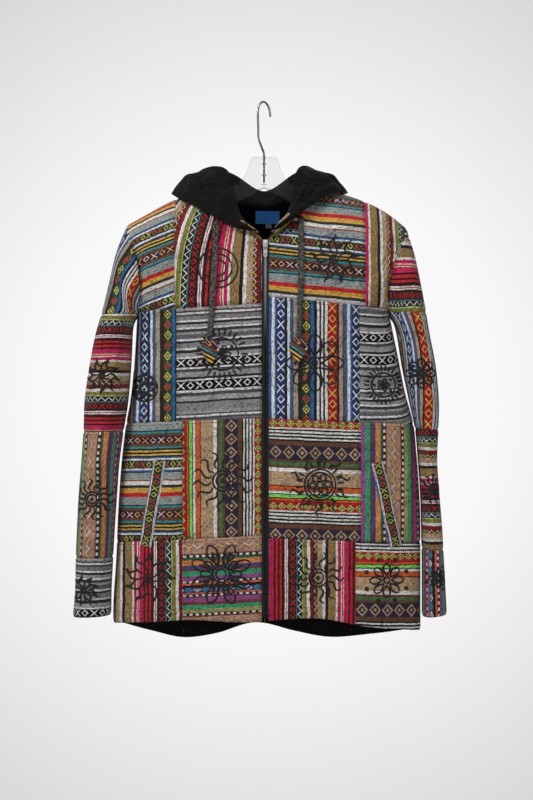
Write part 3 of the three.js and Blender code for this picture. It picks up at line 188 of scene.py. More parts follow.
# The body's form. A hung jacket of pieced cotton: its depth is nothing along the shoulders and the side
# seams and greatest in the middle, with folds that run down to the hem.
UNDERARM_Z = -377
SHOULDER_LINE = {
    "x": [-242, -215, -159, -88, 0, 88, 159, 213, 251],
    "z": [-216, -201, -171, -150, -136, -150, -167, -192, -221],
}
SIDE_EDGES = {
    "z": [-925, -882, -803, -709, -617, -562, -514, -445, UNDERARM_Z],
    "right": [-265, -265, -260, -256, -249, -242, -233, -227, -223],
    "left": [275, 275, 275, 274, 268, 262, 249, 235, 221],
}
HEMS = {
    "front": {"x": [-265, -196, -143, -4, 48, 92, 159, 275],
              "z": [-913, -908, -905, -907, -902, -901, -913, -926]},
    "back": {"x": [-265, -200, -149, -85, -15, 55, 116, 190, 275],
             "z": [-913, -934, -947, -940, -919, -936, -947, -940, -926]},
}
DEPTHS = {"z": [-940, -760, -560, -300, -150], "front": [52, 57, 60, 64, 62], "back": [60, 58, 58, 60, 56]}
DROPS = {"front": 100, "back": 80}
SIDE_ROUNDING = 2.8
ARMHOLE_SPREAD = 0.9
FOLD_GROWTH = 1.6
# Folds: from a top (x, z) down to an end (x, z), their width and how far they stand out, in millimetres.
FOLDS = {
    "front": [
        (-150, -380, -188, -905, 34, 6), (-105, -470, -128, -905, 24, -4), (-50, -560, -70, -905, 26, 4),
        (62, -560, 78, -905, 26, 4), (118, -430, 128, -905, 26, -4), (160, -400, 192, -905, 34, 6),
        (-222, -560, -232, -905, 15, -3.2), (226, -600, 240, -905, 16, -3.4),
    ],
    "back": [
        (-160, -390, -152, -940, 52, 9), (-70, -520, -80, -940, 34, 4), (-8, -430, -14, -940, 40, -12),
        (60, -500, 52, -940, 30, 4), (150, -390, 122, -940, 52, 9), (-215, -560, -222, -940, 18, -3),
        (212, -540, 220, -940, 20, -3.4),
    ],
}
# Short creases anywhere: middle (x, z), half length along its slope, half width, slope in degrees, height.
CREASES = {
    "front": [
        (-190, -268, 46, 9, 62, -2.6), (-206, -300, 40, 8, 48, 2.0), (-176, -330, 44, 10, 30, -2.2),
        (-120, -236, 60, 12, 74, -1.8), (-118, -420, 54, 12, 16, -1.9), (-196, -442, 40, 9, 34, -2.3),
        (-60, -330, 52, 13, -12, -1.5), (-86, -640, 60, 12, 8, -1.8), (-170, -700, 52, 10, -24, 1.8),
        (-40, -470, 38, 9, 24, 1.5), (-52, -840, 44, 10, -8, -1.8), (-150, -860, 50, 11, 12, 2.0),
        (186, -262, 44, 9, -60, -2.6), (202, -306, 40, 8, -46, 2.1), (170, -334, 46, 10, -26, -2.2),
        (112, -226, 56, 12, -72, -1.8), (122, -430, 50, 12, -18, -1.9), (206, -470, 44, 9, -36, -2.4),
        (58, -346, 52, 13, 10, -1.5), (90, -634, 58, 12, -6, -1.8), (184, -700, 50, 10, 26, 1.9),
        (46, -480, 40, 9, -22, 1.4), (60, -846, 46, 10, 10, -1.8), (212, -850, 50, 11, -14, 2.2),
    ],
    "back": [
        (-180, -280, 46, 9, 58, -2.4), (-150, -350, 48, 10, 28, 2.0), (-90, -430, 56, 12, 10, -2.0),
        (-196, -520, 44, 9, 30, -2.2), (-60, -650, 60, 12, -8, 1.7), (-160, -760, 52, 11, 16, -2.0),
        (-40, -840, 46, 10, -14, 1.8), (178, -276, 46, 9, -56, -2.5), (148, -356, 46, 10, -26, 2.1),
        (84, -440, 58, 12, -12, -1.9), (200, -530, 44, 9, -32, -2.1), (64, -660, 58, 12, 10, 1.8),
        (164, -770, 50, 11, -18, -2.1), (38, -850, 48, 10, 12, 1.7), (0, -330, 60, 14, 80, 1.6),
    ],
}
ARMHOLE_BOW = [0, 2, 5, 13, 17, 16, 11, 4, 0]
SHOULDER_TIP = {"right": (-242, -216), "left": (251, -221)}
NECK_POINT = {"right": -88, "left": 90}
NECK_POINT_Z = -150
FRONT_NECK = {"out": [1.0, 0.955, 0.87, 0.75, 0.61, 0.45, 0.28, 0.1],
              "z": [-150, -160, -174, -189, -204, -219, -233, -246]}
BACK_NECK_DIP = 28
BACK_MIDDLE = 1.0
HEM_CORNER_Z = -915
ZIP_EDGE = {"right": -4, "left": 8.5}
ZIP_MIDDLE = 2.25


def smooth_step(t):
    """0 to 1 with level ends."""
    c = np.clip(t, 0, 1)
    return c * c * (3 - 2 * c)


def hermite(t, value, slope, next_value, next_slope):
    """A smooth way from one value to the next, with the slope of each at its end."""
    return ((2 * t**3 - 3 * t**2 + 1) * value + (t**3 - 2 * t**2 + t) * slope
            + (3 * t**2 - 2 * t**3) * next_value + (t**3 - t**2) * next_slope)


def along_curve(xs, ys, x):
    """The value at x of a smooth curve through the points (xs, ys), with xs rising."""
    xs, ys = np.asarray(xs, float), np.asarray(ys, float)
    slopes = np.gradient(ys, xs)
    x = np.clip(x, xs[0], xs[-1])
    i = np.clip(np.searchsorted(xs, x) - 1, 0, len(xs) - 2)
    h = xs[i + 1] - xs[i]
    return hermite((x - xs[i]) / h, ys[i], h * slopes[i], ys[i + 1], h * slopes[i + 1])


def side_edge(side, z):
    """x of the side seam at a height. Above the underarm it runs on outwards."""
    spread = np.maximum(0, z - UNDERARM_Z) * ARMHOLE_SPREAD
    edge = along_curve(SIDE_EDGES["z"], SIDE_EDGES[side], z)
    return edge - spread if side == "right" else edge + spread


def body_depth(x, z, face):
    """How far the front or back stands from the hanger's plane."""
    right, left = side_edge("right", z), side_edge("left", z)
    across = np.minimum(1, np.abs(2 * (x - right) / (left - right) - 1))
    side = (1 - across**SIDE_ROUNDING) ** (1 / SIDE_ROUNDING)
    drop = (along_curve(SHOULDER_LINE["x"], SHOULDER_LINE["z"], x) - z) / DROPS[face]
    top = np.sqrt(1 - (1 - np.clip(drop, 0, 1)) ** 2)
    out = along_curve(DEPTHS["z"], DEPTHS[face], z)
    for top_x, top_z, end_x, end_z, width, height in FOLDS[face]:
        t = (z - top_z) / (end_z - top_z)
        off = (x - (top_x + (end_x - top_x) * t)) / width
        out = out + height * smooth_step(t * FOLD_GROWTH) * np.exp(-off * off)
    for mid_x, mid_z, half_long, half_wide, slope, height in CREASES[face]:
        cos, sin = math.cos(math.radians(slope)), math.sin(math.radians(slope))
        along = ((x - mid_x) * cos + (z - mid_z) * sin) / half_long
        off = (-(x - mid_x) * sin + (z - mid_z) * cos) / half_wide
        out = out + height * np.exp(-along * along - off * off)
    return side * top * out


def on_body(x, z, face):
    """Points of the body's surface at places seen from the front."""
    x, z = np.broadcast_arrays(np.asarray(x, float), np.asarray(z, float))
    depth = body_depth(x, z, face)
    return np.stack([x, -depth if face == "front" else depth, z], -1)


def armhole_x(side, down):
    """x of the armhole's edge at a share of the way down from the shoulder's tip to the underarm."""
    tip_x = SHOULDER_TIP[side][0]
    under = side_edge(side, np.float64(UNDERARM_Z))
    bow = along_curve(range(9), ARMHOLE_BOW, np.arccos(1 - 2 * down) / math.pi * 8)
    return tip_x + (under - tip_x) * down + (bow if side == "right" else -bow)


def outer_edge(side, z):
    """x of the edge of the body's cloth at a height: the armhole, and the side seam below it."""
    tip_z = SHOULDER_TIP[side][1]
    hole = armhole_x(side, np.clip((tip_z - z) / (tip_z - UNDERARM_Z), 0, 1))
    return np.where(z > UNDERARM_Z, hole, side_edge(side, z))


def unit(vectors):
    """Vectors brought to length 1."""
    return vectors / np.maximum(1e-9, np.linalg.norm(vectors, axis=-1, keepdims=True))


def grid_normals(points):
    """Unit normals of a grid of points, columns first."""
    return unit(np.cross(np.gradient(points, axis=0), np.gradient(points, axis=1)))


def grid_faces(columns, rows, start=0, flip=False):
    """Quads of a grid whose points are stored column by column."""
    faces = []
    for i in range(columns - 1):
        for a in range(start + i * rows, start + (i + 1) * rows - 1):
            quad = (a, a + rows, a + rows + 1, a + 1)
            faces.append(quad[::-1] if flip else quad)
    return faces


def arc_lengths(points, axis=0):
    """Length along a line or a grid's lines from their first points."""
    steps = np.linalg.norm(np.diff(points, axis=axis), axis=-1)
    return np.insert(np.cumsum(steps, axis=axis), 0, 0, axis=axis)


def resample(line, shares):
    """Points at shares of a line's length."""
    place = arc_lengths(line)
    return np.stack([np.interp(shares * place[-1], place, values) for values in line.T], -1)


def coons(top, bottom, left, right):
    """A grid of points within four border lines: top and bottom run left to right, the others down."""
    s = np.linspace(0, 1, len(top))[:, None, None]
    t = np.linspace(0, 1, len(left))[None, :, None]
    ruled = (1 - t) * top[:, None] + t * bottom[:, None] + (1 - s) * left[None] + s * right[None]
    upper = (1 - s) * top[0] + s * top[-1]
    lower = (1 - s) * bottom[0] + s * bottom[-1]
    return ruled - (1 - t) * upper - t * lower


# The cloths. Six hand-loomed cotton stripings, each a repeat of plain stripes with woven motif bands.
# A row is a stripe's width in millimetres and its colour, in the order in which they lie.
CLOTHS = {
    "grey_green_purple": [
        (14, "949C98"), (7, "C8232C"), (8, "D6A746"), (5, "33373A"), (7, "E4E2DE"), (2.5, "A4502E"),
        (12, "949C98"), (1.5, "2A2A2C"), (3, "2F5E9E"), (3, "E4E2DE"), (14, "1B3C2C"), (3, "E4E2DE"),
        (3, "2F5E9E"), (2.5, "202022"), (3, "D6A746"), (3, "202022"), (3, "D6A746"), (3, "202022"),
        (3.5, "2E8F9B"), (5, "6B4630"), (12.6, "3B2340"), (5, "6B4630"), (3.5, "2E8F9B"), (2.5, "202022"),
    ],
    "magenta_olive": [
        (8, "C81E5A"), (3, "201A1C"), (4, "C8232C"), (3, "201A1C"), (4, "C8232C"), (5, "2A1C18"),
        (1.8, "E4E2DE"), (1.8, "C81E5A"), (2, "E4E2DE"), (3, "2A1C18"), (11.7, "33201B"), (2, "2E8F9B"),
        (8.3, "38241C"), (1.6, "9BD08A"), (7, "8A7F3A"), (5, "E4E2DE"), (7, "5E1A1C"), (6, "5A3A28"),
        (9, "B89A78"), (5.5, "E4E2DE"), (4.8, "241815"), (9.6, "9A7B52"), (4, "8A7F3A"), (3.4, "E4E2DE"),
        (5.5, "C81E5A"), (2, "E4E2DE"), (1.6, "C8232C"), (2, "9BD08A"),
    ],
    "grey_black": [
        (5, "9E9B9C"), (2, "2A2A2C"), (4, "DEDCDA"), (3, "4A4D4F"), (7, "847F82"), (3, "DEDCDA"),
        (4, "2A2A2C"), (6, "9E9B9C"), (2.5, "E4E2DE"), (5, "3A3C3F"), (4, "A3A0A1"), (8, "68646A"),
        (3, "DEDCDA"), (4, "2A2A2C"), (9, "8C888A"), (3, "DEDCDA"), (5, "2A2A2C"), (7, "9E9B9C"),
        (3, "E4E2DE"), (15, "0E0E10"), (3, "DEDCDA"), (5, "4A4D4F"), (9, "9E9B9C"), (4, "2A2A2C"),
        (3, "DEDCDA"), (16, "0E0E10"), (4, "DEDCDA"), (6, "4A4D4F"), (8, "A3A0A1"), (4, "2A2A2C"),
        (14, "8C888A"),
    ],
    "navy_green_red": [
        (4.6, "34659F"), (5, "E4E2DE"), (3, "34659F"), (16, "22396A"), (3, "14171F"), (4.6, "E4E2DE"),
        (4, "34659F"), (2.4, "6B4630"), (7.7, "A39C8B"), (7, "33231B"), (14.7, "1C4A30"), (6, "34659F"),
        (5, "1A1B20"), (4, "E4E2DE"), (3, "17181A"), (4, "E4E2DE"), (3, "17181A"), (4.6, "E4E2DE"),
        (17, "A81E26"), (3, "241815"), (6, "A39C8B"), (4, "6B4630"),
    ],
    "beige_orange": [
        (13, "B0202A"), (3, "E4E2DE"), (3, "17181A"), (3, "E4E2DE"), (3, "17181A"), (3, "E4E2DE"),
        (3, "17181A"), (3, "E4E2DE"), (3, "17181A"), (7, "6B4630"), (25, "2B2A40"), (4.5, "6B4630"),
        (5, "3E7A48"), (5, "6B4630"), (6, "E4E2DE"), (24, "B89A78"), (2, "17181A"), (7, "E0602A"),
        (1.5, "17181A"), (4.5, "E4E2DE"), (1.5, "17181A"), (5.2, "7FE060"), (1.5, "17181A"), (3, "E0602A"),
        (4, "B0202A"),
    ],
    "tan_emerald": [
        (9, "B58F76"), (8, "A98068"), (8, "B58F76"), (2, "A4502E"), (6, "2C2C2F"), (4, "2F6A4C"),
        (9, "E08A48"), (6, "3A4C84"), (4, "843640"), (8, "2AA570"), (8, "97508A"), (5, "2C2C2F"),
        (3, "E0602A"), (4, "17181A"), (9, "30447A"), (3, "E0602A"), (5, "2C2C2F"), (8, "97508A"),
        (6, "843640"), (7, "2AA570"), (7, "A89A60"), (5, "2C2C2F"), (2, "A4502E"),
    ],
}
# Woven motifs: the stripe (by its place in the list above) that carries each, its kind, length and colours.
MOTIFS = {
    "grey_green_purple": [
        (10, "crosses", 22, "D9C05A", "C8463A"), (20, "crosses", 30, "E0A84A", "E4C8B0"),
    ],
    "magenta_olive": [
        (10, "crosses", 26, "C8232C", "C8232C"), (12, "zigzag", 13, "E4E2DE", "E4E2DE"),
        (16, "crosses", 16, "C8232C", "C8232C"), (17, "zigzag", 11, "E4E2DE", "D9C05A"),
    ],
    "grey_black": [
        (19, "crosses", 33, "E4E2DE", "E4E2DE"), (25, "crosses", 33, "E4E2DE", "E4E2DE"),
    ],
    "navy_green_red": [
        (3, "crosses", 37, "E4E2DE", "E4E2DE"), (10, "diamonds", 18, "D9C05A", "C8463A"),
        (18, "crosses", 37, "D9B44A", "D9B44A"),
    ],
    "beige_orange": [(0, "diamonds", 15, "7FE060", "8FE070"), (10, "diamonds", 23, "B89A78", "A98C66")],
    "tan_emerald": [
        (1, "zigzag", 15, "D9C05A", "E4E2DE"), (4, "dashes", 11, "E4E2DE", "E4E2DE"),
        (11, "dashes", 11, "E4E2DE", "E4E2DE"), (14, "diamonds", 15, "3FA0A8", "E4E2DE"),
        (16, "dashes", 11, "E4E2DE", "E4E2DE"), (21, "dashes", 11, "E4E2DE", "E4E2DE"),
    ],
}
YARN = 1.3
DEPTH_OF_DYE = 0.24


def motif_mask(m, kind, off, cell):
    """A motif's mask. off runs from -1 to 1 across its stripe, cell from 0 to 1 along each repeat."""
    side = m.sums("ABSOLUTE", off)
    if kind == "diamonds":
        half = m.sums("ABSOLUTE", m.sums("MULTIPLY_ADD", cell, 2.0, -1.0))
        reach = m.sums("ADD", side, half)
        return m.sums("MAXIMUM", m.sums("COMPARE", reach, 0.78, 0.15), m.sums("LESS_THAN", reach, 0.3))
    if kind == "zigzag":
        wave = m.sums("MULTIPLY_ADD", m.sums("PINGPONG", cell, 0.5), 3.0, -0.75)
        return m.sums("COMPARE", off, wave, 0.22)
    first_half = m.sums("LESS_THAN", cell, 0.5)
    if kind == "dashes":
        return m.sums("MULTIPLY", first_half, m.sums("LESS_THAN", side, 0.62))
    half = m.sums("ABSOLUTE", m.sums("MULTIPLY_ADD", m.sums("MODULO", cell, 0.5), 4.0, -1.0))
    cross = m.sums("MULTIPLY", m.sums("COMPARE", side, half, 0.17), m.sums("LESS_THAN", side, 0.78))
    ring = m.sums("COMPARE", m.sums("ADD", side, half), 0.68, 0.15)
    return m.sums("MULTIPLY_ADD", ring, m.sums("SUBTRACT", 1.0, first_half),
                  m.sums("MULTIPLY", cross, first_half))


def cloth_material(name):
    """Hand-loomed cotton: stripes and motifs from the cloth's own map, uneven yarn, dry rough surface.

    The map's first value runs along the stripes and its second across them, in millimetres.
    """
    bands = CLOTHS[name]
    repeat = sum(width for width, _ in bands)
    m = Shading("cotton_" + name, {"Roughness": 0.92, "Specular IOR Level": 0.15, "Sheen Weight": 0.05,
                                   "Sheen Roughness": 0.6})
    cloth_place = m.node("UVMap", uv_map="cloth").outputs[0]
    along, across, _ = m.node("SeparateXYZ", {0: cloth_place}).outputs
    # Yarns wander a little, so no stripe's edge is ruler straight.
    wander = m.noise(cloth_place, scale=0.022, detail=3.0)
    across = m.sums("ADD", across, m.sums("MULTIPLY_ADD", wander, 4.0, -2.0))
    share = m.sums("WRAP", m.sums("DIVIDE", across, repeat), 1.0, 0.0)
    ramp = m.node("ValToRGB", {0: share})
    stops = ramp.color_ramp
    stops.interpolation = "CONSTANT"
    stops.elements.remove(stops.elements[1])
    starts = np.cumsum([0] + [width for width, _ in bands])
    for start, (_, colour) in zip(starts, bands):
        stop = stops.elements.new(start / repeat) if start else stops.elements[0]
        stop.color = linear(colour)
    colour_now = ramp.outputs[0]
    for index, kind, pitch, first, second in MOTIFS[name]:
        half_wide = bands[index][0] / 2
        middle = (starts[index] + half_wide) / repeat
        off = m.sums("MULTIPLY", m.sums("SUBTRACT", share, middle), repeat / half_wide)
        row = m.sums("DIVIDE", along, float(pitch))
        in_stripe = m.sums("LESS_THAN", m.sums("ABSOLUTE", off), 1.0)
        mask = m.sums("MULTIPLY", motif_mask(m, kind, off, m.sums("FRACT", row)), in_stripe)
        odd = m.sums("PINGPONG", m.sums("FLOOR", row), 1.0)
        colour_now = m.mix(mask, colour_now, m.mix(odd, linear(first), linear(second)))

    def streaky(scale_along, scale_across, detail):
        """Noise drawn out along the stripes."""
        place = m.node("CombineXYZ", {0: m.sums("MULTIPLY", along, scale_along),
                                      1: m.sums("MULTIPLY", across, scale_across)})
        return m.noise(place.outputs[0], 1.0, detail)

    # Uneven yarn: light and dark streaks along the stripes, cloudy fading over the patch, and dark slubs.
    streaks = streaky(0.02, 0.5, detail=2.0)
    flecks = m.noise(cloth_place, scale=0.35, detail=4.0)
    dark_yarn = m.spread(streaky(0.16, 0.75, detail=1.0), 0.36, 0.5, to_low=0.32)
    uneven = m.sums("MULTIPLY_ADD", streaks, 0.5, m.sums("MULTIPLY_ADD", flecks, 0.8, DEPTH_OF_DYE))
    value = m.sums("MULTIPLY", uneven, dark_yarn)
    grey = m.node("CombineXYZ", {0: value, 1: value, 2: value}).outputs[0]
    # The weave: crossing yarns, and slubs where the yarn is thick.
    warp, weft = (m.sums("SINE", m.sums("MULTIPLY", way, 2 * math.pi / YARN)) for way in (along, across))
    height = m.sums("MULTIPLY_ADD", m.sums("MULTIPLY", warp, weft), 0.35, m.sums("ADD", streaks, flecks))
    weave = m.bump(height, distance=0.0006, strength=0.6)
    # Soft crumples that a hung jacket keeps between its folds.
    crumples = m.noise(m.spot(), scale=15.0, detail=3.0, distortion=1.2)
    m.link(m.surface, {"Base Color": m.mix(1.0, colour_now, grey, blend_type="MULTIPLY"),
                       "Normal": m.bump(crumples, distance=0.03, strength=0.7, below=weave)})
    return m.material


CLOTH_ORDER = list(CLOTHS)
A, B, C, D, E, F = CLOTH_ORDER
cloth_materials = [cloth_material(name) for name in CLOTH_ORDER]

# The linings: plain black cotton, a little loose inside the panels, seen in the neck and under the hem. The
# shells of the panels and sleeves have it as their inner face too.
cotton = Shading("black_cotton_matt", {"Roughness": 0.95, "Specular IOR Level": 0.08, "Sheen Weight": 0.06})
spot = cotton.spot()
weave = cotton.bump(cotton.noise(spot, scale=900.0), distance=0.0003, strength=0.5)
wrinkles = cotton.noise(spot, scale=34.0, distortion=0.8)
cloudy = cotton.noise(spot, scale=30.0, detail=5.0)
cotton.link(cotton.surface, {"Base Color": cotton.mix(cloudy, linear("060607"), linear("151517")),
                             "Normal": cotton.bump(wrinkles, distance=0.012, strength=0.8, below=weave)})
black_cotton = cotton.material


def dress(name, material):
    """Gives a node of the CAD model its material."""
    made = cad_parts[name]
    made.data.materials.clear()
    made.data.materials.append(material)
    return made


for name in ("lining_right", "lining_left", "lining_back"):
    dress(name, black_cotton)

# The fronts and the back. Each is pieced from patches in four rows, sewn with the seams pressed open, and
# topstitched in dark thread beside some of the seams.
# Seams between the rows: heights at the outer edge and at the zip or the back's middle.
ROW_SEAMS = {
    "front_right": [(-368.5, -355.5), (-563, -553.5), (-771, -757)],
    "front_left": [(-363, -343.5), (-565, -555), (-772, -762)],
    "back_right": [(-366, -352), (-566, -556), (-770, -760)],
    "back_left": [(-364, -352), (-563, -556), (-772, -760)],
}
# x of the seam between the outer and inner patch of each row.
COLUMN_SEAMS = {
    "front_right": [-155, -152, -141, -142], "front_left": [176.5, 166, 168, 158.5],
    "back_right": [-150, -146, -140, -144], "back_left": [158, 160, 163, 156],
}
# Patches, row by row: cloth, the way its stripes run (h level, v upright, a minus where their order is
# turned round), where in the repeat it starts, how far it is stretched and how steeply its stripes drop
# outwards.
PATCHES = {
    "front_right": {
        "outer": [(A, "h", 15, 1, 0.28), (D, "v-", 80), (A, "h-", 14), (B, "v-", 77)],
        "inner": [(B, "v", 71, 1.19), (C, "h", 0), (E, "v", 0, 0.93), (F, "h", 0)],
    },
    "front_left": {
        "outer": [(B, "v-", 126), (C, "h", 40), (F, "v-", 72), (E, "h-", 31)],
        "inner": [(A, "h", 97), (D, "v", 0), (E, "h", 0), (B, "v", 0)],
    },
    "back_right": {
        "outer": [(E, "h", 20), (B, "v", 70), (D, "h", 30), (C, "v", 0)],
        "inner": [(C, "v", 12), (F, "h", 60), (A, "v", 20), (E, "h", 80)],
    },
    "back_left": {
        "outer": [(D, "v", 0), (A, "h", 90), (B, "v", 20), (F, "h", 10)],
        "inner": [(E, "h", 0), (D, "v", 90), (F, "h", 30), (A, "v", 70)],
    },
}
PATCH_COLUMNS = {"outer": 44, "inner": 34}
PATCH_ROWS = 42
PATCH_TALL = 203
BORDER_SAMPLES = 200
TOP_ROW_SPACING = 1.7
SEAM_SINK = 1.5
SEAM_WIDTH = 3.2
SHELL_THICK = 1.4
# Where the hood's outside shows under its rim: on the left front, above a height and within a distance of
# the zip.
HOOD_SCRAP = {"z": -233, "x": 68}
# The back's two halves stand in for one node, which the right one names.
STANDS_FOR = {"front_right": ["front_panel_right"], "front_left": ["front_panel_left"],
              "back_right": ["back_panel"], "back_left": []}


def thicken(shell, thick, inner_material=0):
    """Gives a shell its thickness, inwards, with its inner face that many materials further on."""
    solid = shell.modifiers.new("thickness", "SOLIDIFY")
    solid.thickness = thick * MM
    solid.offset = -1
    solid.material_offset = inner_material


def line_with_cotton(shell):
    """Gives a patchwork shell its thickness, with the black lining as its inner face."""
    shell.data.materials.append(black_cotton)
    thicken(shell, SHELL_THICK, len(CLOTH_ORDER))


def finish_piece(piece, slot, *stands_for):
    """Fixes a piece to the jacket's body and hides the CAD nodes that it takes the place of. Its slot is not
    used.
    """
    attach(piece, "jacket")
    if stands_for:
        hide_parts(*stands_for)


def neck_curve(face, side, shares):
    """Places (x, z) of the neck seam, from the shoulder down to the zip or to the back's middle."""
    if face == "front":
        out = along_curve(range(8), FRONT_NECK["out"], shares * 7)
        z = along_curve(range(8), FRONT_NECK["z"], shares * 7)
        x = ZIP_MIDDLE + (NECK_POINT[side] - ZIP_MIDDLE) * out
        return np.stack([np.where(shares >= 1, ZIP_EDGE[side], x), z], -1)
    middle = (NECK_POINT["right"] + NECK_POINT["left"]) / 2
    x = NECK_POINT[side] + (middle - NECK_POINT[side]) * shares
    return np.stack([x, NECK_POINT_Z - BACK_NECK_DIP * np.sin(math.pi * shares / 2) ** 0.75], -1)


def patch_places(face, side, row, part):
    """The places (x, z) of one patch's grid, its columns from its outer border to its inner one."""
    key = face + "_" + side
    seams = ROW_SEAMS[key]
    inner_x = ZIP_EDGE[side] if face == "front" else BACK_MIDDLE
    split = COLUMN_SEAMS[key][row]
    n = PATCH_COLUMNS[part]
    s = np.linspace(0, 1, n)
    s = 1 - np.cos(s * math.pi / 2) if part == "outer" else s
    t = np.linspace(0, 1, PATCH_ROWS)
    t = t**TOP_ROW_SPACING if row == 0 else t
    fine = np.linspace(0, 1, BORDER_SAMPLES)

    def row_line(x_from, x_to, index):
        outer_z, inner_z = seams[index]
        outer_x = float(outer_edge(side, np.float64(outer_z)))
        x = x_from + (x_to - x_from) * fine
        return np.stack([x, outer_z + (inner_z - outer_z) * (x - outer_x) / (inner_x - outer_x)], -1)

    def start_x(index):
        return float(outer_edge(side, np.float64(seams[index][0]))) if part == "outer" else split

    end_x = split if part == "outer" else inner_x
    if row == 0:
        tip = SHOULDER_TIP[side][0]
        x_from, x_to = (tip, split) if part == "outer" else (split, NECK_POINT[side])
        x = x_from + (x_to - x_from) * fine
        top = np.stack([x, along_curve(SHOULDER_LINE["x"], SHOULDER_LINE["z"], x)], -1)
        if part == "inner":
            top = np.concatenate([top, neck_curve(face, side, fine)[1:]])
    else:
        top = row_line(start_x(row - 1), end_x, row - 1)
    if row == 3:
        hem = HEMS[face]
        first = float(outer_edge(side, np.float64(HEM_CORNER_Z))) if part == "outer" else split
        x = first + (end_x - first) * fine
        bottom = np.stack([x, along_curve(hem["x"], hem["z"], x)], -1)
    else:
        bottom = row_line(start_x(row), end_x, row)
    left = top[0] + (bottom[0] - top[0]) * fine[:, None]
    right = top[-1] + (bottom[-1] - top[-1]) * fine[:, None]
    if part == "outer":
        left[:, 0] = outer_edge(side, left[:, 1])
    return coons(resample(top, s), resample(bottom, s), resample(left, t), resample(right, t))


def sink_seams(points, normals, depth=SEAM_SINK):
    """Draws the edges of a patch in, where its seams are sewn."""
    across = arc_lengths(points, 0)
    down = arc_lengths(points, 1)
    edge = np.minimum(np.minimum(across, across[-1:] - across), np.minimum(down, down[:, -1:] - down))
    return points - normals * (depth * np.exp(-(edge / SEAM_WIDTH) ** 2))[..., None]


def cloth_map(down, across, way, start, stretch=1.0, slant=0.0):
    """The cloth's map from lengths down and across a patch: along the stripes and across them.

    stretch widens the stripes of a loosely woven patch, and slant lets them drop outwards.
    """
    along, over = (across, down) if way[0] == "h" else (down, across)
    over = (over - slant * along) / stretch
    return np.stack([along, start - over if way[1:] else start + over], -1).reshape(-1, 2)


panels, patch_grids = {}, {}
for key in PATCHES:
    face, side = key.split("_")
    points, faces, used, maps = [], [], [], []
    for part, row in ((part, row) for part in ("outer", "inner") for row in range(4)):
        cloth, way, start, *drape = PATCHES[key][part][row]
        places = patch_places(face, side, row, part)
        grid = on_body(places[..., 0], places[..., 1], face)
        normals = grid_normals(grid)
        normals *= np.sign(normals[10, 10, 1]) * (-1 if face == "front" else 1)
        across = arc_lengths(grid[::-1], 0)[::-1]
        down = arc_lengths(grid, 1) if row else PATCH_TALL - arc_lengths(grid[:, ::-1], 1)[:, ::-1]
        maps.append(cloth_map(down, across, way, start, *drape))
        grid = sink_seams(grid, normals)
        patch_grids[key, part, row] = (grid, normals)
        flip = (face == "front") == (side == "right")
        faces += grid_faces(*grid.shape[:2], start=sum(len(p) for p in points), flip=flip)
        middles = (grid[:-1, :-1] + grid[1:, 1:]) / 2
        scrap = (middles[..., 2] > HOOD_SCRAP["z"]) & (middles[..., 0] < HOOD_SCRAP["x"])
        scrap &= (key, part, row) == ("front_left", "inner", 0)
        used += np.where(scrap, CLOTH_ORDER.index(B), CLOTH_ORDER.index(cloth)).ravel().tolist()
        points.append(grid.reshape(-1, 3))
    panel = new_object(key, np.concatenate(points), faces, cloth_materials, used, np.concatenate(maps))
    line_with_cotton(panel)
    finish_piece(panel, "patchwork", *STANDS_FOR[key])
    panels[key] = panel

# The sleeves: set into the armholes, each a tube of stacked patches with its long seam under the arm.
# Rings below the armhole: inner x, z next to the body, outer x, z, then how far front and back stand out.
SLEEVE_RINGS = {
    "right": [
        (-226, -383, -259, -262, 62, 62), (-229, -390, -271, -312, 67, 66),
        (-231, -400, -283, -363, 71, 70), (-232, -420, -296, -408, 73, 72),
        (-234, -464, -306, -460, 73, 73), (-239, -524, -315, -522, 70, 70),
        (-247, -575, -317, -575, 67, 67), (-254.5, -630, -321, -630, 64, 64),
        (-259, -690, -326, -690, 60, 61), (-263, -750, -329, -750, 57, 58),
        (-266, -805, -331, -806, 54, 55), (-268.5, -856, -332, -858, 51, 52),
        (-269, -899, -336, -902, 49, 50),
    ],
    "left": [
        (225, -383, 264, -266, 60, 64), (229, -390, 274, -312, 63, 70), (232, -400, 283, -360, 65, 75),
        (236, -420, 291, -408, 66, 78), (243, -464, 301, -460, 65, 79), (255.5, -524, 307, -522, 62, 77),
        (266.5, -575, 306, -575, 60, 73), (271.5, -630, 304, -630, 58, 70), (275.5, -690, 308, -690, 56, 66),
        (277, -750, 313, -750, 54, 62), (278, -805, 316, -806, 52, 58), (278, -856, 319, -858, 50, 54),
        (278, -902, 321, -897, 49, 51),
    ],
}
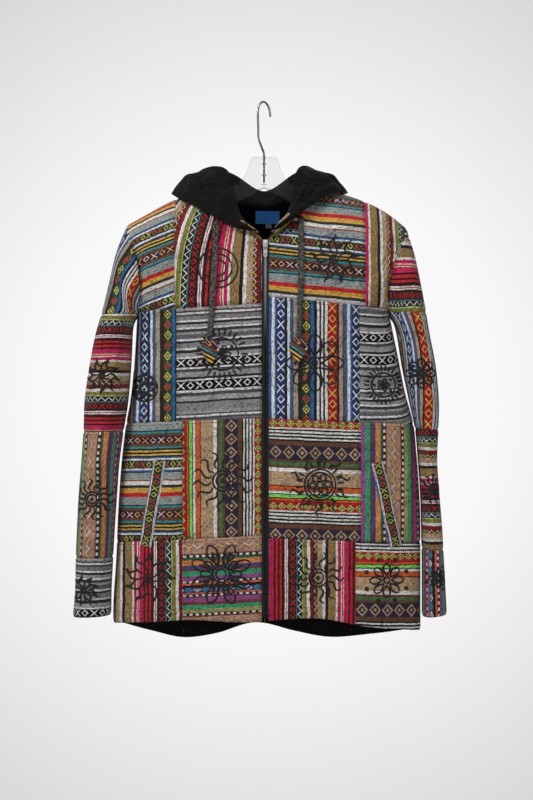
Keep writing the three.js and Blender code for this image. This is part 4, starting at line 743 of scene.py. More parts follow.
# Creases: angle from the outer side round by the front and height of the middle, spread in degrees, half
# height, slope in degrees per 100 mm and how far the cloth stands out.
SLEEVE_CREASES = {
    "right": [
        (62, -560, 22, 46, 0, -5), (108, -500, 24, 60, 0, -4), (40, -700, 20, 70, 0, -4),
        (300, -600, 26, 60, 0, -5), (250, -760, 24, 60, 0, -4), (80, -330, 12, 60, 18, -2.6),
        (58, -400, 11, 50, -24, 2.4), (96, -440, 10, 44, 30, -2.6), (70, -500, 9, 40, -30, 2.2),
        (48, -610, 10, 44, 26, -2.4), (92, -640, 10, 50, -22, 2.4), (66, -740, 11, 46, 20, -2.0),
        (84, -810, 12, 44, -18, 2.0), (284, -420, 14, 60, 20, -2.6), (262, -560, 13, 56, -20, 2.4),
        (296, -700, 13, 60, 18, -2.4),
    ],
    "left": [
        (330, -560, 24, 220, 0, -5), (62, -640, 22, 60, 0, -4), (300, -520, 26, 70, 0, 4),
        (118, -460, 24, 60, 0, -4), (78, -330, 12, 60, -18, -2.6), (60, -410, 10, 50, 24, 2.4),
        (98, -500, 10, 46, -28, -2.4), (50, -560, 10, 44, 28, 2.2), (82, -610, 10, 46, -24, -2.4),
        (58, -720, 11, 50, 20, 2.2), (88, -790, 11, 46, -20, -2.0), (280, -440, 14, 60, -20, -2.6),
        (262, -600, 13, 60, 20, 2.4), (298, -740, 13, 60, -18, -2.2),
    ],
}
SLEEVE_SQUARENESS = 2.25
SLEEVE_PATCHES = {
    "right": [(-373.7, D, "v", -8), (-577.8, B, "h-", 69), (-797.5, F, "v", -50), (None, C, "h", 0)],
    "left": [(-238, A, "h-", 90), (-370, B, "h", 86, 1.19), (-574, D, "v", 40), (-783.7, B, "h", 36),
             (None, F, "v", 20)],
}
SLEEVE_COLUMNS = 97
RINGS_TO_CUFF = 13
SLEEVE_PATCH_ROWS = 52
HEIGHT_SAMPLES = 300
# In rings: the least length of a patch, and the stretch below the armhole in which the creases begin.
LEAST_PATCH = 0.08
CREASES_BEGIN = 0.6


def along_rows(control, places):
    """Smooth curves through the second axis of an array of control points, at places counted in rows.

    places is one list for all the curves, or one for each.
    """
    places = np.broadcast_to(places, (len(control), np.shape(places)[-1]))
    slopes = np.gradient(control, axis=1)
    i = np.clip(np.floor(places).astype(int), 0, control.shape[1] - 2)[..., None]
    ends = [np.take_along_axis(values, j, 1) for j in (i, i + 1) for values in (control, slopes)]
    return hermite(places[..., None] - i, *ends)


def armhole_line(side, angles):
    """Points of an armhole at angles from the shoulder tip round by the front."""
    turned = np.where(angles > math.pi, 2 * math.pi - angles, angles)
    down = (1 - np.cos(turned)) / 2
    x = armhole_x(side, down)
    z = SHOULDER_TIP[side][1] * (1 - down) + UNDERARM_Z * down
    closed_ends = np.minimum(1, np.sin(turned) * 6)
    y = np.where(angles <= math.pi, -body_depth(x, z, "front"), body_depth(x, z, "back")) * closed_ends
    return np.stack([x, y, z], -1)


for side in ("right", "left"):
    angles = np.linspace(-math.pi, math.pi, SLEEVE_COLUMNS) % (2 * math.pi)
    angles[0] = angles[-1] = math.pi
    cos, sin = np.cos(angles), np.sin(angles)
    cos, sin = (np.sign(way) * np.abs(way) ** (2 / SLEEVE_SQUARENESS) for way in (cos, sin))
    rings = [armhole_line(side, angles)]
    for in_x, in_z, out_x, out_z, front, back in SLEEVE_RINGS[side]:
        share = (1 + cos) / 2
        rings.append(np.stack([in_x + (out_x - in_x) * share, -sin * np.where(sin > 0, front, back),
                               in_z + (out_z - in_z) * share], -1))
    control = np.stack(rings, 1)
    all_rows = np.linspace(0, RINGS_TO_CUFF, HEIGHT_SAMPLES)
    heights = along_rows(control, all_rows)[..., 2]
    points, faces, used, maps = [], [], [], []
    row_start = np.zeros(SLEEVE_COLUMNS)
    for border, cloth, way, start, *stretch in SLEEVE_PATCHES[side]:
        level = np.full(SLEEVE_COLUMNS, float(RINGS_TO_CUFF))
        if border is not None:
            level = np.array([np.interp(-border, -column, all_rows) for column in heights])
        row_end = np.maximum(level, row_start + LEAST_PATCH)
        down = np.linspace(0, 1, SLEEVE_PATCH_ROWS)
        rows_here = row_start[:, None] + (row_end - row_start)[:, None] * down
        grid = along_rows(control, rows_here)
        centre = grid[:-1].mean(0, keepdims=True)
        away = unit(grid - centre)
        degrees = np.degrees(angles)[:, None]
        swell = np.zeros(grid.shape[:2])
        for at, crease_z, spread, tall, slope, out in SLEEVE_CREASES[side]:
            up = (centre[..., 2] - crease_z) / tall
            lean = at + slope * (centre[..., 2] - crease_z) / 100
            turn = ((degrees - lean + 180) % 360 - 180) / spread
            swell += out * np.exp(-turn**2 - up**2)
        grid = grid + away * (swell * smooth_step(rows_here / CREASES_BEGIN))[..., None]
        normals = grid_normals(grid)
        normals *= np.sign((normals * away).sum(-1).mean())
        around = arc_lengths(grid, 0)
        around -= around[SLEEVE_COLUMNS // 2]
        down = -grid[..., 2] - (-grid[..., 2]).min()
        maps.append(cloth_map(down, around, way, start, *stretch))
        grid = sink_seams(grid, normals)
        patch_grids["sleeve_" + side, "tube", len(points)] = (grid, normals)
        faces += grid_faces(*grid.shape[:2], start=sum(len(p) for p in points), flip=side == "right")
        used += [CLOTH_ORDER.index(cloth)] * (len(faces) - len(used))
        points.append(grid.reshape(-1, 3))
        row_start = row_end
    sleeve = new_object("sleeve_shell_" + side, np.concatenate(points), faces, cloth_materials, used,
                        np.concatenate(maps))
    line_with_cotton(sleeve)
    finish_piece(sleeve, "patchwork", *("sleeve_%s_%s" % (side, tube) for tube in ("upper", "lower", "cuff")))
    panels["sleeve_" + side] = sleeve

# The hood: patchwork outside and black inside, thrown back so that the inside shows. Its sections run from
# the neck seam over the crest, down into the pouch behind the neck and up to the rim.
# Crest x, y, z, rim x, y, z and the pouch's depth, from the zip round to the middle of the back.
HOOD_RAILS = {
    "right": [
        (-6, -66, -239, -8, -68, -233, 0), (-24, -68, -222, -27, -72, -229, 0),
        (-42, -66, -202, -52, -73, -225, 0), (-50, -60, -176, -78, -70, -211, 0),
        (-56, -52, -146, -100, -62, -197, 0), (-66, -43, -122, -123, -50, -184, 0),
        (-86, -28, -115, -146, -33, -173, 0), (-105, -5, -117, -162, 2, -160, 0),
        (-101, 26, -117, -158, 48, -156, 26), (-84, 52, -116, -132, 92, -150, 88),
        (-55, 70, -122, -78, 122, -148, 142),
    ],
    "middle": (0, 76, -152, 0, 134, -152, 170),
    "left": [
        (10, -66, -239, 12, -68, -233, 0), (25, -67, -220, 26, -73, -226, 0),
        (40, -66, -200, 44, -73, -214, 0), (49, -60, -175, 64, -70, -199, 0),
        (53, -52, -146, 84, -63, -185, 0), (59, -42, -122, 103, -50, -171, 0),
        (72, -27, -114, 124, -32, -161, 0), (91, -4, -120, 145, 2, -158, 0),
        (90, 26, -117, 146, 48, -154, 26), (78, 52, -114, 124, 92, -150, 88),
        (54, 70, -122, 76, 122, -148, 142),
    ],
}
HOOD_PUFF = 7
HOOD_SECTIONS = 155
HOOD_ROWS = 73
HOOD_THICK = 1.5
HOOD_GAP = 0.4
HOOD_LINING_THICK = 0.9
HOOD_OFF_SEAM = {"in": 1.5, "up": 0.4}
# Shares of the rows and of the sections in which the creases fade, and the lean of a crease of slope 1.
HOOD_FADES = {"seam": 0.12, "rim": 0.06, "zip": 0.05}
HOOD_LEAN = 0.2
HOOD_CLOTH_START = 60
HOOD_FRONT_SECTIONS = 50
# Creases of the hood: middle as a share of its sections and of its rows, half sizes, slope and height.
HOOD_CREASES = [
    (0.16, 0.55, 0.05, 0.07, 0.9, -3.6), (0.2, 0.8, 0.06, 0.06, -0.7, 3.0),
    (0.26, 0.42, 0.05, 0.06, 0.6, 3.2), (0.29, 0.66, 0.035, 0.09, -0.8, -3.8),
    (0.33, 0.5, 0.03, 0.12, 0.5, 3.0), (0.36, 0.8, 0.03, 0.08, 0.9, -3.0),
    (0.24, 0.2, 0.06, 0.05, 0.4, -2.4), (0.1, 0.6, 0.05, 0.08, 0.5, 1.6),
    (0.42, 0.3, 0.03, 0.14, 0.3, -2.6), (0.84, 0.55, 0.05, 0.07, -0.9, -3.6),
    (0.79, 0.8, 0.06, 0.06, 0.7, 3.0), (0.73, 0.42, 0.05, 0.06, -0.6, 3.2),
    (0.7, 0.66, 0.035, 0.09, 0.8, -3.6), (0.66, 0.5, 0.03, 0.12, -0.5, 3.0),
    (0.63, 0.78, 0.03, 0.08, -0.9, -3.0), (0.77, 0.2, 0.06, 0.05, -0.4, -2.4),
    (0.9, 0.6, 0.05, 0.08, -0.5, 1.6), (0.57, 0.3, 0.03, 0.14, -0.3, -2.6), (0.5, 0.6, 0.03, 0.2, 0.0, 2.4),
]


def hood_section(seam, rail):
    """The seven points that one section of the hood is drawn through."""
    start = seam + unit(np.array([-seam[0], -seam[1], 0])) * HOOD_OFF_SEAM["in"] + (0, 0, HOOD_OFF_SEAM["up"])
    crest, rim, pouch = np.array(rail[:3], float), np.array(rail[3:6], float), rail[6]
    deep = float(smooth_step(pouch / 60))
    across = unit((rim - crest) * np.array([1, 1, 0]))
    bottom = (crest + rim) / 2
    bottom[2] += (min(crest[2], rim[2]) - pouch - bottom[2]) * deep
    puff = HOOD_PUFF * (1 - deep)
    bottom = bottom + across * puff * 0.8 + np.array([0, 0, puff * 0.8])
    sink = pouch * 0.45
    descent = crest + (bottom - crest) * 0.45 + across * (puff * 0.6 - sink * 0.06)
    ascent = (bottom + rim) / 2 + across * (puff * 0.4 + sink * 0.2)
    rise = start + (crest - start) * 0.55 - across * 1.5
    return np.stack([start, rise, crest, descent, bottom, ascent, rim])


def hood_out(grid):
    """The hood's normals, turned away from its lining."""
    normals = grid_normals(grid)
    return normals * np.sign(normals[HOOD_SECTIONS // 2, HOOD_ROWS - 12, 1])


front_shares, back_shares = np.arange(8) / 7, np.arange(5) / 4
seam_points = []
for face, side, shares in (("front", "right", front_shares[:0:-1]), ("back", "right", back_shares),
                           ("back", "left", back_shares[-2::-1]), ("front", "left", front_shares[1:])):
    places = neck_curve(face, side, shares)
    seam_points += list(on_body(places[:, 0], places[:, 1], face))
rails = HOOD_RAILS["right"] + [HOOD_RAILS["middle"]] + HOOD_RAILS["left"][::-1]
control = np.stack([hood_section(seam, rail) for seam, rail in zip(seam_points, rails)])
rows = along_rows(control, np.linspace(0, 6, HOOD_ROWS))
hood_grid = along_rows(rows.transpose(1, 0, 2), np.linspace(0, 22, HOOD_SECTIONS)).transpose(1, 0, 2)
section_at = np.linspace(0, 1, HOOD_SECTIONS)[:, None]
row_at = np.linspace(0, 1, HOOD_ROWS)[None]
rumple = np.zeros((HOOD_SECTIONS, HOOD_ROWS))
for at, down, half_wide, half_tall, slope, height in HOOD_CREASES:
    along = (section_at - at - slope * (row_at - down) * HOOD_LEAN) / half_wide
    rumple += height * np.exp(-along**2 - ((row_at - down) / half_tall) ** 2)
rumple *= smooth_step(row_at / HOOD_FADES["seam"]) * smooth_step((1 - row_at) / HOOD_FADES["rim"])
rumple *= smooth_step(np.minimum(section_at, 1 - section_at) / HOOD_FADES["zip"])
hood_grid = hood_grid + hood_out(hood_grid) * rumple[..., None]
hood_normals = hood_out(hood_grid)
hood_map = np.stack([arc_lengths(hood_grid, 0), arc_lengths(hood_grid, 1) + HOOD_CLOTH_START], -1)
quads = grid_faces(HOOD_SECTIONS, HOOD_ROWS)
near_zip = [i < HOOD_FRONT_SECTIONS or i > HOOD_SECTIONS - 1 - HOOD_FRONT_SECTIONS
            for i in range(HOOD_SECTIONS - 1)]
hood_cloths = [CLOTH_ORDER.index(B if near else F) for near in near_zip for _ in range(HOOD_ROWS - 1)]
hood = new_object("hood_shell", (hood_grid + hood_normals * HOOD_THICK).reshape(-1, 3), quads,
                  cloth_materials, hood_cloths, hood_map.reshape(-1, 2))
finish_piece(hood, "patchwork", "hood")
hood_inside = new_object("hood_inside", (hood_grid - hood_normals * HOOD_GAP).reshape(-1, 3),
                         [q[::-1] for q in quads], [black_cotton])
thicken(hood_inside, HOOD_LINING_THICK)
finish_piece(hood_inside, "lining", "hood_lining")

# Topstitching: dark cotton thread beside the seams, and round the hem and the cuffs.
STITCH = {"long": 2.6, "gap": 1.3, "wide": 0.75, "high": 0.4, "ends": 0.05, "sunk": 0.3}
SEAM_INSET = 5
EDGE_INSET = 3.5
HEM_INSET = 19
thread = Shading("thread_dark_cotton", {"Base Color": linear("1A1614"), "Roughness": 0.8}).material


def inset_line(grid, normals, border, inset):
    """A line at a distance from a grid's top, bottom, first or last border, with its normals."""
    both = np.concatenate([grid, normals], -1)
    if border in ("first", "last"):
        both = both.transpose(1, 0, 2)
    if border in ("bottom", "last"):
        both = both[:, ::-1]
    return np.array([[np.interp(inset, place, values) for values in column.T]
                     for place, column in zip(arc_lengths(both[..., :3], 1), both)])


def stitch_boxes(line, points, faces):
    """Adds one small bar of thread for each stitch along a line of points with their normals."""
    steps = arc_lengths(line[:, :3])
    length = steps[-1]
    count = int(length / (STITCH["long"] + STITCH["gap"]))
    if count < 3:
        return
    middles = (np.arange(count) + 0.5) / count * length
    start, middle, end = [np.stack([np.interp(middles + d, steps, values) for values in line.T], -1)
                          for d in (-STITCH["long"] / 2, 0, STITCH["long"] / 2)]
    ups = middle[:, 3:]
    across = unit(np.cross(end[:, :3] - start[:, :3], ups)) * STITCH["wide"] / 2
    for i, (up, side) in enumerate(zip(ups, across)):
        a = len(points)
        for at, rise in ((start, STITCH["ends"]), (middle, STITCH["high"]), (end, STITCH["ends"])):
            points.extend([at[i, :3] + up * rise - side, at[i, :3] + up * rise + side])
        points.append(middle[i, :3] - up * STITCH["sunk"])
        faces.extend([(a, a + 1, a + 3, a + 2), (a + 2, a + 3, a + 5, a + 4), (a, a + 2, a + 6),
                      (a + 2, a + 4, a + 6), (a + 1, a + 6, a + 3), (a + 3, a + 6, a + 5)])


for key in panels:
    points, faces = [], []
    for (owner, part, row), (grid, normals) in patch_grids.items():
        lines = [("top", SEAM_INSET)] * (row > 0) + [("bottom", HEM_INSET)] * (row == 3)
        lines += [("first", SEAM_INSET), ("last", EDGE_INSET)] * (part == "inner")
        for border, inset in lines if owner == key else []:
            stitch_boxes(inset_line(grid, normals, border, inset), points, faces)
    finish_piece(new_object("topstitching_" + key, points, faces, [thread], smooth=False), "patchwork")

# Block prints: black line motifs stamped on the finished patches, dry and broken where the stamp missed.
INK_LIFT = 0.45
STROKE = 3.3
# For each panel: the print's middle x and z, radius, motif and turn in degrees.
PRINTS = {
    "front_right": [
        (-79.5, -294, 35, "rings", 0), (-72.5, -443, 45, "dash_ring", 0), (-207.5, -502, 24, "rosette", 10),
        (-71, -662.5, 52, "wavy_sun", 8), (-74.5, -824, 55, "petal_flower", 0),
        (-200.5, -832, 48, "branches", 14),
    ],
    "front_left": [
        (121, -278.5, 44, "branches", 20), (88, -458.5, 50, "open_flower", 0),
        (207.5, -496.5, 34, "dash_ring", 0), (97, -669.5, 54, "ray_ring", 6),
        (93.5, -830.5, 45, "wavy_sun", 0), (213, -835.5, 43, "dotted_petals", 0),
    ],
    "sleeve_right": [
        (-280, -481, 32, "branches", 0), (-297.5, -694, 36, "wavy_sun", 20),
        (-313, -853, 28, "branches", 30),
    ],
    "sleeve_left": [
        (272, -476, 26, "open_flower", 0), (296, -676, 26, "wavy_sun", 0),
        (303, -832, 24, "dotted_petals", 0),
    ],
    "back_right": [
        (-80, -262, 42, "open_flower", 0), (-70, -456, 46, "wavy_sun", 0), (-208, -470, 30, "rosette", 0),
        (-72, -660, 50, "dash_ring", 0), (-206, -664, 36, "branches", 10),
        (-76, -836, 48, "petal_flower", 0),
    ],
    "back_left": [
        (82, -260, 40, "rings", 0), (84, -452, 48, "branches", 0), (212, -500, 34, "wavy_sun", 0),
        (86, -664, 48, "dotted_petals", 0), (84, -838, 46, "ray_ring", 0),
        (214, -838, 38, "open_flower", 0),
    ],
}


def polar(radii, turns):
    return np.stack([np.cos(turns) * radii, np.sin(turns) * radii], -1)


def circle(radius, centre=(0, 0)):
    turns = np.linspace(0, 2 * math.pi, max(14, int(radius * 60) + 14))
    return polar(np.full(len(turns), radius), turns) + np.array(centre)


def rays(inner, outer, count, sway=0.0, waves=1.5, offset=0.0):
    lines = []
    for k in range(count):
        t = np.linspace(0, 1, 12)
        turn = 2 * math.pi * (k + offset) / count + sway * np.sin(t * waves * 2 * math.pi)
        lines.append(polar(inner + (outer - inner) * t, turn))
    return lines


def petals(inner, outer, count, wide, offset=0.0):
    lines = []
    for k in range(count):
        t = np.linspace(0, 1, 15)
        for way in (-1, 1):
            turn = 2 * math.pi * (k + offset) / count + way * wide * np.sin(t * math.pi) ** 0.8
            lines.append(polar(inner + (outer - inner) * t, turn))
    return lines


def dots(radius, count, size, offset=0.0):
    return [circle(size, (math.cos(a) * radius, math.sin(a) * radius))
            for a in 2 * math.pi * (np.arange(count) + offset) / count]


MOTIF_LINES = {
    "rings": [circle(0.4), circle(0.68), circle(0.97)],
    "dash_ring": [circle(0.62)] + rays(0.72, 1.0, 26) + petals(0.0, 0.34, 5, 0.4) + dots(0.47, 5, 0.03, 0.5),
    "rosette": [circle(0.95), circle(0.3)] + petals(0.3, 0.9, 8, 0.26) + dots(0.72, 8, 0.03, 0.5),
    "wavy_sun": [circle(0.34), circle(0.22), circle(0.05)] + rays(0.4, 1.0, 14, 0.14, 1.0),
    "petal_flower": [circle(0.16), circle(0.26)] + petals(0.26, 0.66, 10, 0.2)
    + petals(0.3, 1.0, 8, 0.24, 0.5) + rays(0.45, 0.75, 8, 0.0, 1.0, 0.5),
    "branches": [circle(0.16), circle(0.07)] + rays(0.2, 1.0, 9, 0.24, 0.8)
    + rays(0.5, 0.86, 9, 0.3, 0.4, 0.32),
    "open_flower": [circle(0.2), circle(0.1)] + petals(0.22, 1.0, 8, 0.36) + dots(0.66, 8, 0.035),
    "ray_ring": [circle(0.5), circle(0.4), circle(0.1)] + rays(0.56, 0.78, 20)
    + rays(0.58, 1.0, 10, 0.1, 1.0, 0.25) + petals(0.12, 0.36, 6, 0.4),
    "dotted_petals": [circle(0.12)] + petals(0.18, 0.7, 8, 0.3) + dots(0.88, 8, 0.05, 0.5),
}


def cloth_tree(made):
    """A search tree of a piece's surface, in millimetres."""
    corners = [v.co / MM for v in made.data.vertices]
    return BVHTree.FromPolygons(corners, [list(p.vertices) for p in made.data.polygons])


def lay_on(tree, x, z, lift, from_front=True):
    """The point over a surface at a place seen from the front or the back, or None beside it."""
    way = 1 if from_front else -1
    hit, normal, _, _ = tree.ray_cast(Vector((x, -400 * way, z)), Vector((0, way, 0)))
    if hit is None:
        return None
    if normal.y * way > 0:
        normal.negate()
    return hit + normal * lift


ink = Shading("block_print_dry_black", {"Base Color": linear("0E0C0C"), "Roughness": 0.85})
cover = ink.spread(ink.noise(ink.spot(), scale=260.0, detail=3.0), 0.3, 0.44, to_low=0.35)
bare = ink.node("BsdfTransparent")
dry = ink.node("MixShader", {0: cover, 1: bare.outputs[0], 2: ink.surface.outputs[0]})
ink.link(ink.out, {"Surface": dry.outputs[0]})

surface_trees = {key: cloth_tree(panel) for key, panel in panels.items()}
for key, stamps in PRINTS.items():
    from_front = not key.startswith("back")
    points, faces = [], []
    for mid_x, mid_z, radius, kind, turn in stamps:
        cos, sin = math.cos(math.radians(turn)), math.sin(math.radians(turn))
        for line in MOTIF_LINES[kind]:
            line = line @ np.array([[cos, sin], [-sin, cos]]) * radius
            steps = unit(np.gradient(line, axis=0))
            taper = 0.75 + 0.35 * np.sin(np.linspace(0, math.pi, len(line)))
            sides = np.stack([-steps[:, 1], steps[:, 0]], -1) * (STROKE / 2 * taper)[:, None]
            before = None
            for middle, off in zip(line + np.array([mid_x, mid_z]), sides):
                pair = [lay_on(surface_trees[key], *(middle + way * off), INK_LIFT, from_front)
                        for way in (-1, 1)]
                if None in pair:
                    before = None
                    continue
                here = len(points)
                points.extend(pair)
                if before is not None:
                    faces.append((before, before + 1, here + 1, here))
                before = here
    finish_piece(new_object("block_print_" + key, points, faces, [ink.material]), "patchwork")

# The zip: black ribbed tapes behind the fronts' edges with small metal teeth that mesh down the middle, the
# lower teeth darkened by painted shade.
TAPE = {"top": -246, "end": -900, "reach": 8.5, "behind": 2.1, "thick": 0.8, "gap": 0.2, "tilt": 0.04,
        "columns": 9, "rows": 150}
TOOTH = {"wide": 3.0, "tall": 0.8, "thick": 1.7, "pitch": 2.6, "off": 0.8, "sunk": 0.4, "below_top": 7}
BOX_FACES = ((0, 1, 3, 2), (4, 6, 7, 5), (0, 4, 5, 1), (2, 3, 7, 6), (0, 2, 6, 4), (1, 5, 7, 3))
ZIP_AXIS = 2.3
ribbed = Shading("zip_tape_ribbed_black", {"Base Color": linear("101113"), "Roughness": 0.7})
ribbed.link(ribbed.surface, {"Normal": ribbed.ribs(axis=0, pitch=0.9, distance=0.0003, strength=0.5)})
metal = Shading("zip_metal_worn_nickel", {"Metallic": 0.7, "Roughness": 0.32})
tarnish = metal.noise(metal.spot(), scale=400.0)
metal.link(metal.surface, {"Base Color": metal.mix(tarnish, linear("D2D4D6"), linear("FAFAFA"))})
# The teeth's nickel is painted darker below the top of the zip: painted shade where the tape's folds shade
# them, bright nickel above.
shaded_teeth = Shading("zip_teeth_nickel_painted_shade_below", {"Metallic": 0.7, "Roughness": 0.4})
painted_shade_below = shaded_teeth.spread(shaded_teeth.node("SeparateXYZ", {0: shaded_teeth.spot()}).outputs[2], -0.42, -0.3)
shaded_teeth.link(shaded_teeth.surface, {"Base Color": shaded_teeth.mix(painted_shade_below, linear("26272A"), linear("D8DADC"))})


def round_edges(piece, name, width):
    """Rounds a piece's edges a little, and gives the modifier back."""
    rounded = piece.modifiers.new(name, "BEVEL")
    rounded.width = width * MM
    rounded.segments = 2
    return rounded


heights = np.linspace(TAPE["top"], TAPE["end"], TAPE["rows"])
zip_y = on_body(ZIP_EDGE["right"], heights, "front")[:, 1] + SHELL_THICK + TAPE["behind"]
for side, first, last in (("right", ZIP_EDGE["right"] - TAPE["reach"], ZIP_AXIS - TAPE["gap"]),
                          ("left", ZIP_AXIS + TAPE["gap"], ZIP_EDGE["left"] + TAPE["reach"])):
    xs = np.linspace(first, last, TAPE["columns"])
    inside = np.clip(xs, ZIP_EDGE["right"], ZIP_EDGE["left"])
    grid = np.stack([np.stack([np.full(len(heights), x), zip_y + abs(x - c) * TAPE["tilt"], heights], -1)
                     for x, c in zip(xs, inside)])
    tape = new_object("zip_tape_shell_" + side, grid.reshape(-1, 3), grid_faces(*grid.shape[:2], flip=True),
                      [ribbed.material])
    thicken(tape, TAPE["thick"])
    finish_piece(tape, "tape", "zip_tape_" + side)
points, faces = [], []
first_tooth = TAPE["top"] - TOOTH["below_top"]
for k in range(int((first_tooth - TAPE["end"]) / TOOTH["pitch"] * 2)):
    z = first_tooth - k * TOOTH["pitch"] / 2
    x = ZIP_AXIS + (1 if k % 2 else -1) * TOOTH["off"]
    y = float(np.interp(-z, -heights, zip_y)) - TOOTH["thick"] / 2 + TOOTH["sunk"]
    faces += [tuple(len(points) + i for i in quad) for quad in BOX_FACES]
    points += [(x + dx * TOOTH["wide"] / 2, y + dy * TOOTH["thick"] / 2, z + dz * TOOTH["tall"] / 2)
               for dx in (-1, 1) for dy in (-1, 1) for dz in (-1, 1)]
finish_piece(new_object("zip_teeth", points, faces, [shaded_teeth.material], smooth=False), "zip_metal", "zip_chain")
for name in ("zip_slider", "zip_pull"):
    round_edges(dress(name, metal.material), "worn_edges", 0.25)

# The pocket welts: folded strips cut along the green stripe of the first cloth, sewn over the pockets'
# slanted openings.
WELT = {"wide": 22, "thick": 2.0, "lift": 0.3, "columns": 13, "rows": 61, "stitch_inset": 3.0}
WELTS = {"right": (-180.5, -627, -206.5, -777), "left": (196, -631, 229, -776)}
GREEN_STRIPE_MIDDLE = 70
for side, (top_x, top_z, end_x, end_z) in WELTS.items():
    length = math.hypot(end_x - top_x, end_z - top_z)
    along_x, along_z = (end_x - top_x) / length, (end_z - top_z) / length
    points, maps = [], []
    for u in np.linspace(-1, 1, WELT["columns"]):
        for t in np.linspace(0, 1, WELT["rows"]):
            off = u * WELT["wide"] / 2
            edge = min(1 - abs(u), min(t, 1 - t) * length / WELT["wide"] * 2)
            lift = WELT["lift"] + WELT["thick"] * math.sqrt(min(1, edge * 5))
            down = t * length
            x, z = top_x + along_x * down - along_z * off, top_z + along_z * down + along_x * off
            points.append(tuple(lay_on(surface_trees["front_" + side], x, z, lift)))
            maps.append((down, GREEN_STRIPE_MIDDLE + off))
    grid = np.array(points).reshape(WELT["columns"], WELT["rows"], 3)
    welt = new_object("pocket_welt_shell_" + side, points, grid_faces(*grid.shape[:2], flip=True),
                      [cloth_materials[0]], uvs=maps)
    finish_piece(welt, "patchwork", "pocket_welt_" + side)
    normals = grid_normals(grid)
    normals *= -np.sign(normals[..., 1:2])
    edges, edge_faces = [], []
    for border in ("first", "last"):
        stitch_boxes(inset_line(grid, normals, border, WELT["stitch_inset"]), edges, edge_faces)
    finish_piece(new_object("welt_stitching_" + side, edges, edge_faces, [thread], smooth=False), "patchwork")

# The drawstrings: flat marled cords that leave the hood's hem and hang free, each with a folded tab.
CORD_WIDE = 10
CORD_THICK = 3.2
CORD_LIFT = 1.0
CORD_ROWS = 46
CORD_EVENED_OVER = 9
# Top x and z, middle x, end x and z, and the tab's turn in degrees.
CORDS = {"right": (-83, -214, -87, -94.5, -418, 4), "left": (64, -206, 64, 60.5, -415, -3)}
TAB = {"down": [0, 19, 27, 44], "half": [5.5, 16, 13, 2.5], "long": 44, "thick": 4.4, "over_end": 2,
       "before_cord": 0.6, "columns": 17, "rows": 34}
TURNS = np.linspace(0, 2 * math.pi, 17)[:-1]
marl = Shading("drawstring_marled_grey_black", {"Roughness": 0.9})
flecks = marl.node("TexVoronoi", {"Vector": marl.spot(), "Scale": 620.0})
speckle = marl.node("SeparateColor", {0: flecks.outputs["Color"]}).outputs[0]
marl.link(marl.surface, {
    "Base Color": marl.mix(marl.sums("GREATER_THAN", speckle, 0.55), linear("131314"), linear("5A5951")),
    "Normal": marl.bump(flecks.outputs["Distance"], distance=0.0006, strength=0.7)})


def tube_faces(rings, start=0):
    """Quads between rings of points, stored ring by ring."""
    count = len(TURNS)
    return [(a + j, a + (j + 1) % count, a + count + (j + 1) % count, a + count + j)
            for a in range(start, start + (rings - 1) * count, count) for j in range(count)]


for side, (top_x, top_z, mid_x, end_x, end_z, turn) in CORDS.items():
    t = np.linspace(0, 1, CORD_ROWS)
    route = []
    for x, z in zip(along_curve([0, 0.5, 1], [top_x, mid_x, end_x], t), top_z + (end_z - top_z) * t):
        under = [lay_on(surface_trees["front_" + side], x + dx, z, 0)
                 for dx in (-CORD_WIDE / 2, 0, CORD_WIDE / 2)]
        front_y = min(p.y for p in under if p is not None)
        route.append((x, front_y - CORD_THICK / 2 - CORD_LIFT, z))
    route = np.array(route)
    ends_kept = np.pad(route[:, 1], CORD_EVENED_OVER // 2, mode="edge")
    route[:, 1] = np.convolve(ends_kept, np.ones(CORD_EVENED_OVER) / CORD_EVENED_OVER, "valid")
    points = [at + np.array([math.cos(a) * CORD_WIDE / 2, math.sin(a) * CORD_THICK / 2, 0])
              for at in route for a in TURNS] + [route[0], route[-1]]
    count = len(TURNS)
    last = (len(route) - 1) * count
    faces = tube_faces(len(route))
    faces += [((j + 1) % count, j, len(points) - 2) for j in range(count)]
    faces += [(last + j, last + (j + 1) % count, len(points) - 1) for j in range(count)]
    cord = new_object("drawstring_cord_" + side, points, faces, [marl.material])
    finish_piece(cord, "cord", "drawstring_" + side)
    down = np.linspace(0, TAB["long"], TAB["rows"])
    half = along_curve(TAB["down"], TAB["half"], down)
    cos, sin = math.cos(math.radians(turn)), math.sin(math.radians(turn))
    points, faces, maps = [], [], []
    for way in (-1, 1):
        faces += grid_faces(TAB["columns"], TAB["rows"], start=len(points), flip=way == -1)
        for u in np.linspace(-1, 1, TAB["columns"]):
            for d, h in zip(down, half):
                puff = math.sqrt(max(0, 1 - u**4)) * (0.55 + 0.45 * math.sin(math.pi * d / TAB["long"]))
                x, z = u * h, -d
                y = route[-1][1] - TAB["before_cord"] + way * puff * TAB["thick"] / 2
                points.append((route[-1][0] + x * cos - z * sin, y,
                               end_z + TAB["over_end"] + z * cos + x * sin))
                maps.append((x + z * 0.5 + 30, 119 + z * 0.8 + x * 0.5))
    tab = new_object("drawstring_tab_shell_" + side, points, faces, [cloth_materials[0]], uvs=maps)
    finish_piece(tab, "patchwork", "drawstring_tab_" + side)

# The labels: a woven satin neck label and a small size tab under it, both plain. The neck label's blue is
# painted lighter than its own colour, as painted light against the shade inside the neck.
for name, colour, shade_name in (("neck_label", "3C9CFF", "label_woven_satin_blue_painted_light"),
                                 ("size_tab", "9A9DA1", "size_tab_woven_grey")):
    satin = Shading(shade_name, {"Base Color": linear(colour), "Roughness": 0.45, "Sheen Weight": 0.3})
    satin.link(satin.surface, {"Normal": satin.ribs(axis=2, pitch=0.5, distance=0.0002, strength=0.4)})
    dress(name, satin.material)

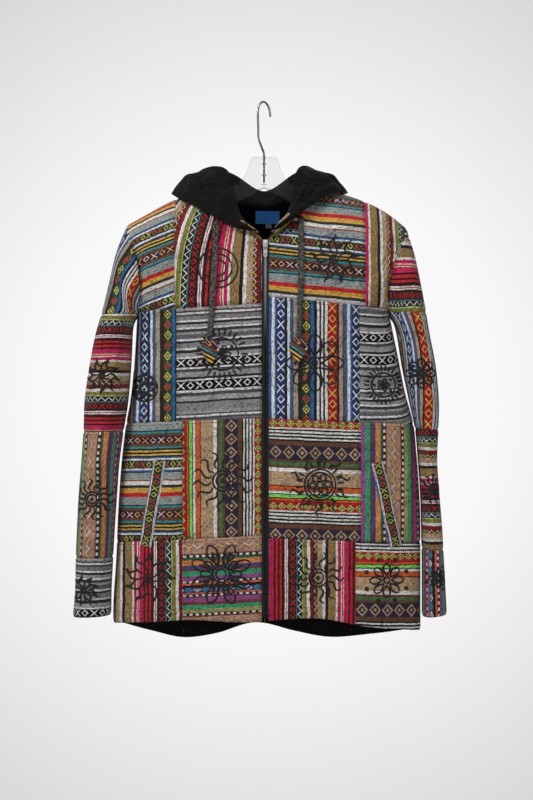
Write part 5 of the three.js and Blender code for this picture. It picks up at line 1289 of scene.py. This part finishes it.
# The hanger: a clear moulded plate with thick bright edges, and a zinc-plated wire hook in its top bar.
WIRE = 3.8
HOOK = {"turn": 60, "radius": 21.5, "tip": -6, "rows": 150,
        "side": [(-20.6, -42), (-18, -66), (-8, -79), (0, -90), (0, -100), (0, -141)]}
COLLARS = {"heights": [-107, -127], "profile": [(1.0, 3.4), (0.7, 4.0), (-0.7, 4.0), (-1.0, 3.4)]}
clear_plastic = Shading("hanger_clear_styrene", {"Base Color": linear("F6F9FA"), "Transmission Weight": 1.0,
                                                 "Roughness": 0.03, "IOR": 1.5}).material
round_edges(dress("hanger_frame", clear_plastic), "moulded_edges", 0.7).limit_method = "ANGLE"
plated = Shading("wire_zinc_plated", {"Base Color": linear("A9ABAE"), "Metallic": 1.0})
drawn = plated.noise(plated.spot(), scale=700.0)
plated.link(plated.surface, {"Roughness": plated.sums("MULTIPLY_ADD", drawn, 0.2, 0.18)})
bend_turns = np.radians(np.linspace(HOOK["tip"], 180, 28))
bend = HOOK["radius"] * np.stack([np.cos(bend_turns), np.sin(bend_turns) - 1], -1) + (0, WIRE / 2)
flat = np.concatenate([bend, HOOK["side"]])
steps = arc_lengths(flat)
dense = np.linspace(0, steps[-1], HOOK["rows"])
across, heights = along_curve(steps, flat[:, 0], dense), along_curve(steps, flat[:, 1], dense)
turn = math.radians(HOOK["turn"])
route = np.stack([across * math.cos(turn), across * math.sin(turn), heights], -1)
flat_normal = np.array([-math.sin(turn), math.cos(turn), 0])
beside = np.cross(unit(np.gradient(route, axis=0)), flat_normal)
points = [list(at + WIRE / 2 * (flat_normal * math.cos(a) + b * math.sin(a))) for at, b in zip(route, beside)
          for a in TURNS]
count = len(TURNS)
faces = tube_faces(len(route))
faces += [tuple(range(count)), tuple((len(route) - 1) * count + j for j in range(count))[::-1]]
for z in COLLARS["heights"]:
    base = len(points)
    for level, radius in COLLARS["profile"]:
        points += [[radius * math.cos(a), radius * math.sin(a), z + level] for a in TURNS]
    faces += [quad[::-1] for quad in tube_faces(len(COLLARS["profile"]), base)]
    faces += [tuple(range(base, base + count)), tuple(range(base + 3 * count, base + 4 * count))[::-1]]
finish_piece(new_object("hanger_wire", points, faces, [plated.material]), "wire", "hanger_hook")

# The cut: width and length in metres of the cloth that each piece was cut from, and its flat area. The
# panels and the sleeves hang from the hanger's arms, and the hood lies back over the shoulders.
CUTS = {
    "front_right": (0.29, 0.77, 0.191), "front_left": (0.30, 0.78, 0.198),
    "back_right": (0.303, 0.81, 0.206), "back_left": (0.307, 0.81, 0.215),
    "sleeve_right": (0.43, 0.69, 0.196), "sleeve_left": (0.426, 0.69, 0.179),
}
for key, (wide, long, flat_area) in CUTS.items():
    on_it = [bpy.data.objects["topstitching_" + key], bpy.data.objects["block_print_" + key]]
    part_of, side = key.split("_")
    if part_of == "front":
        on_it += [bpy.data.objects[name + side] for name in
                  ("zip_tape_shell_", "pocket_welt_shell_", "welt_stitching_")]
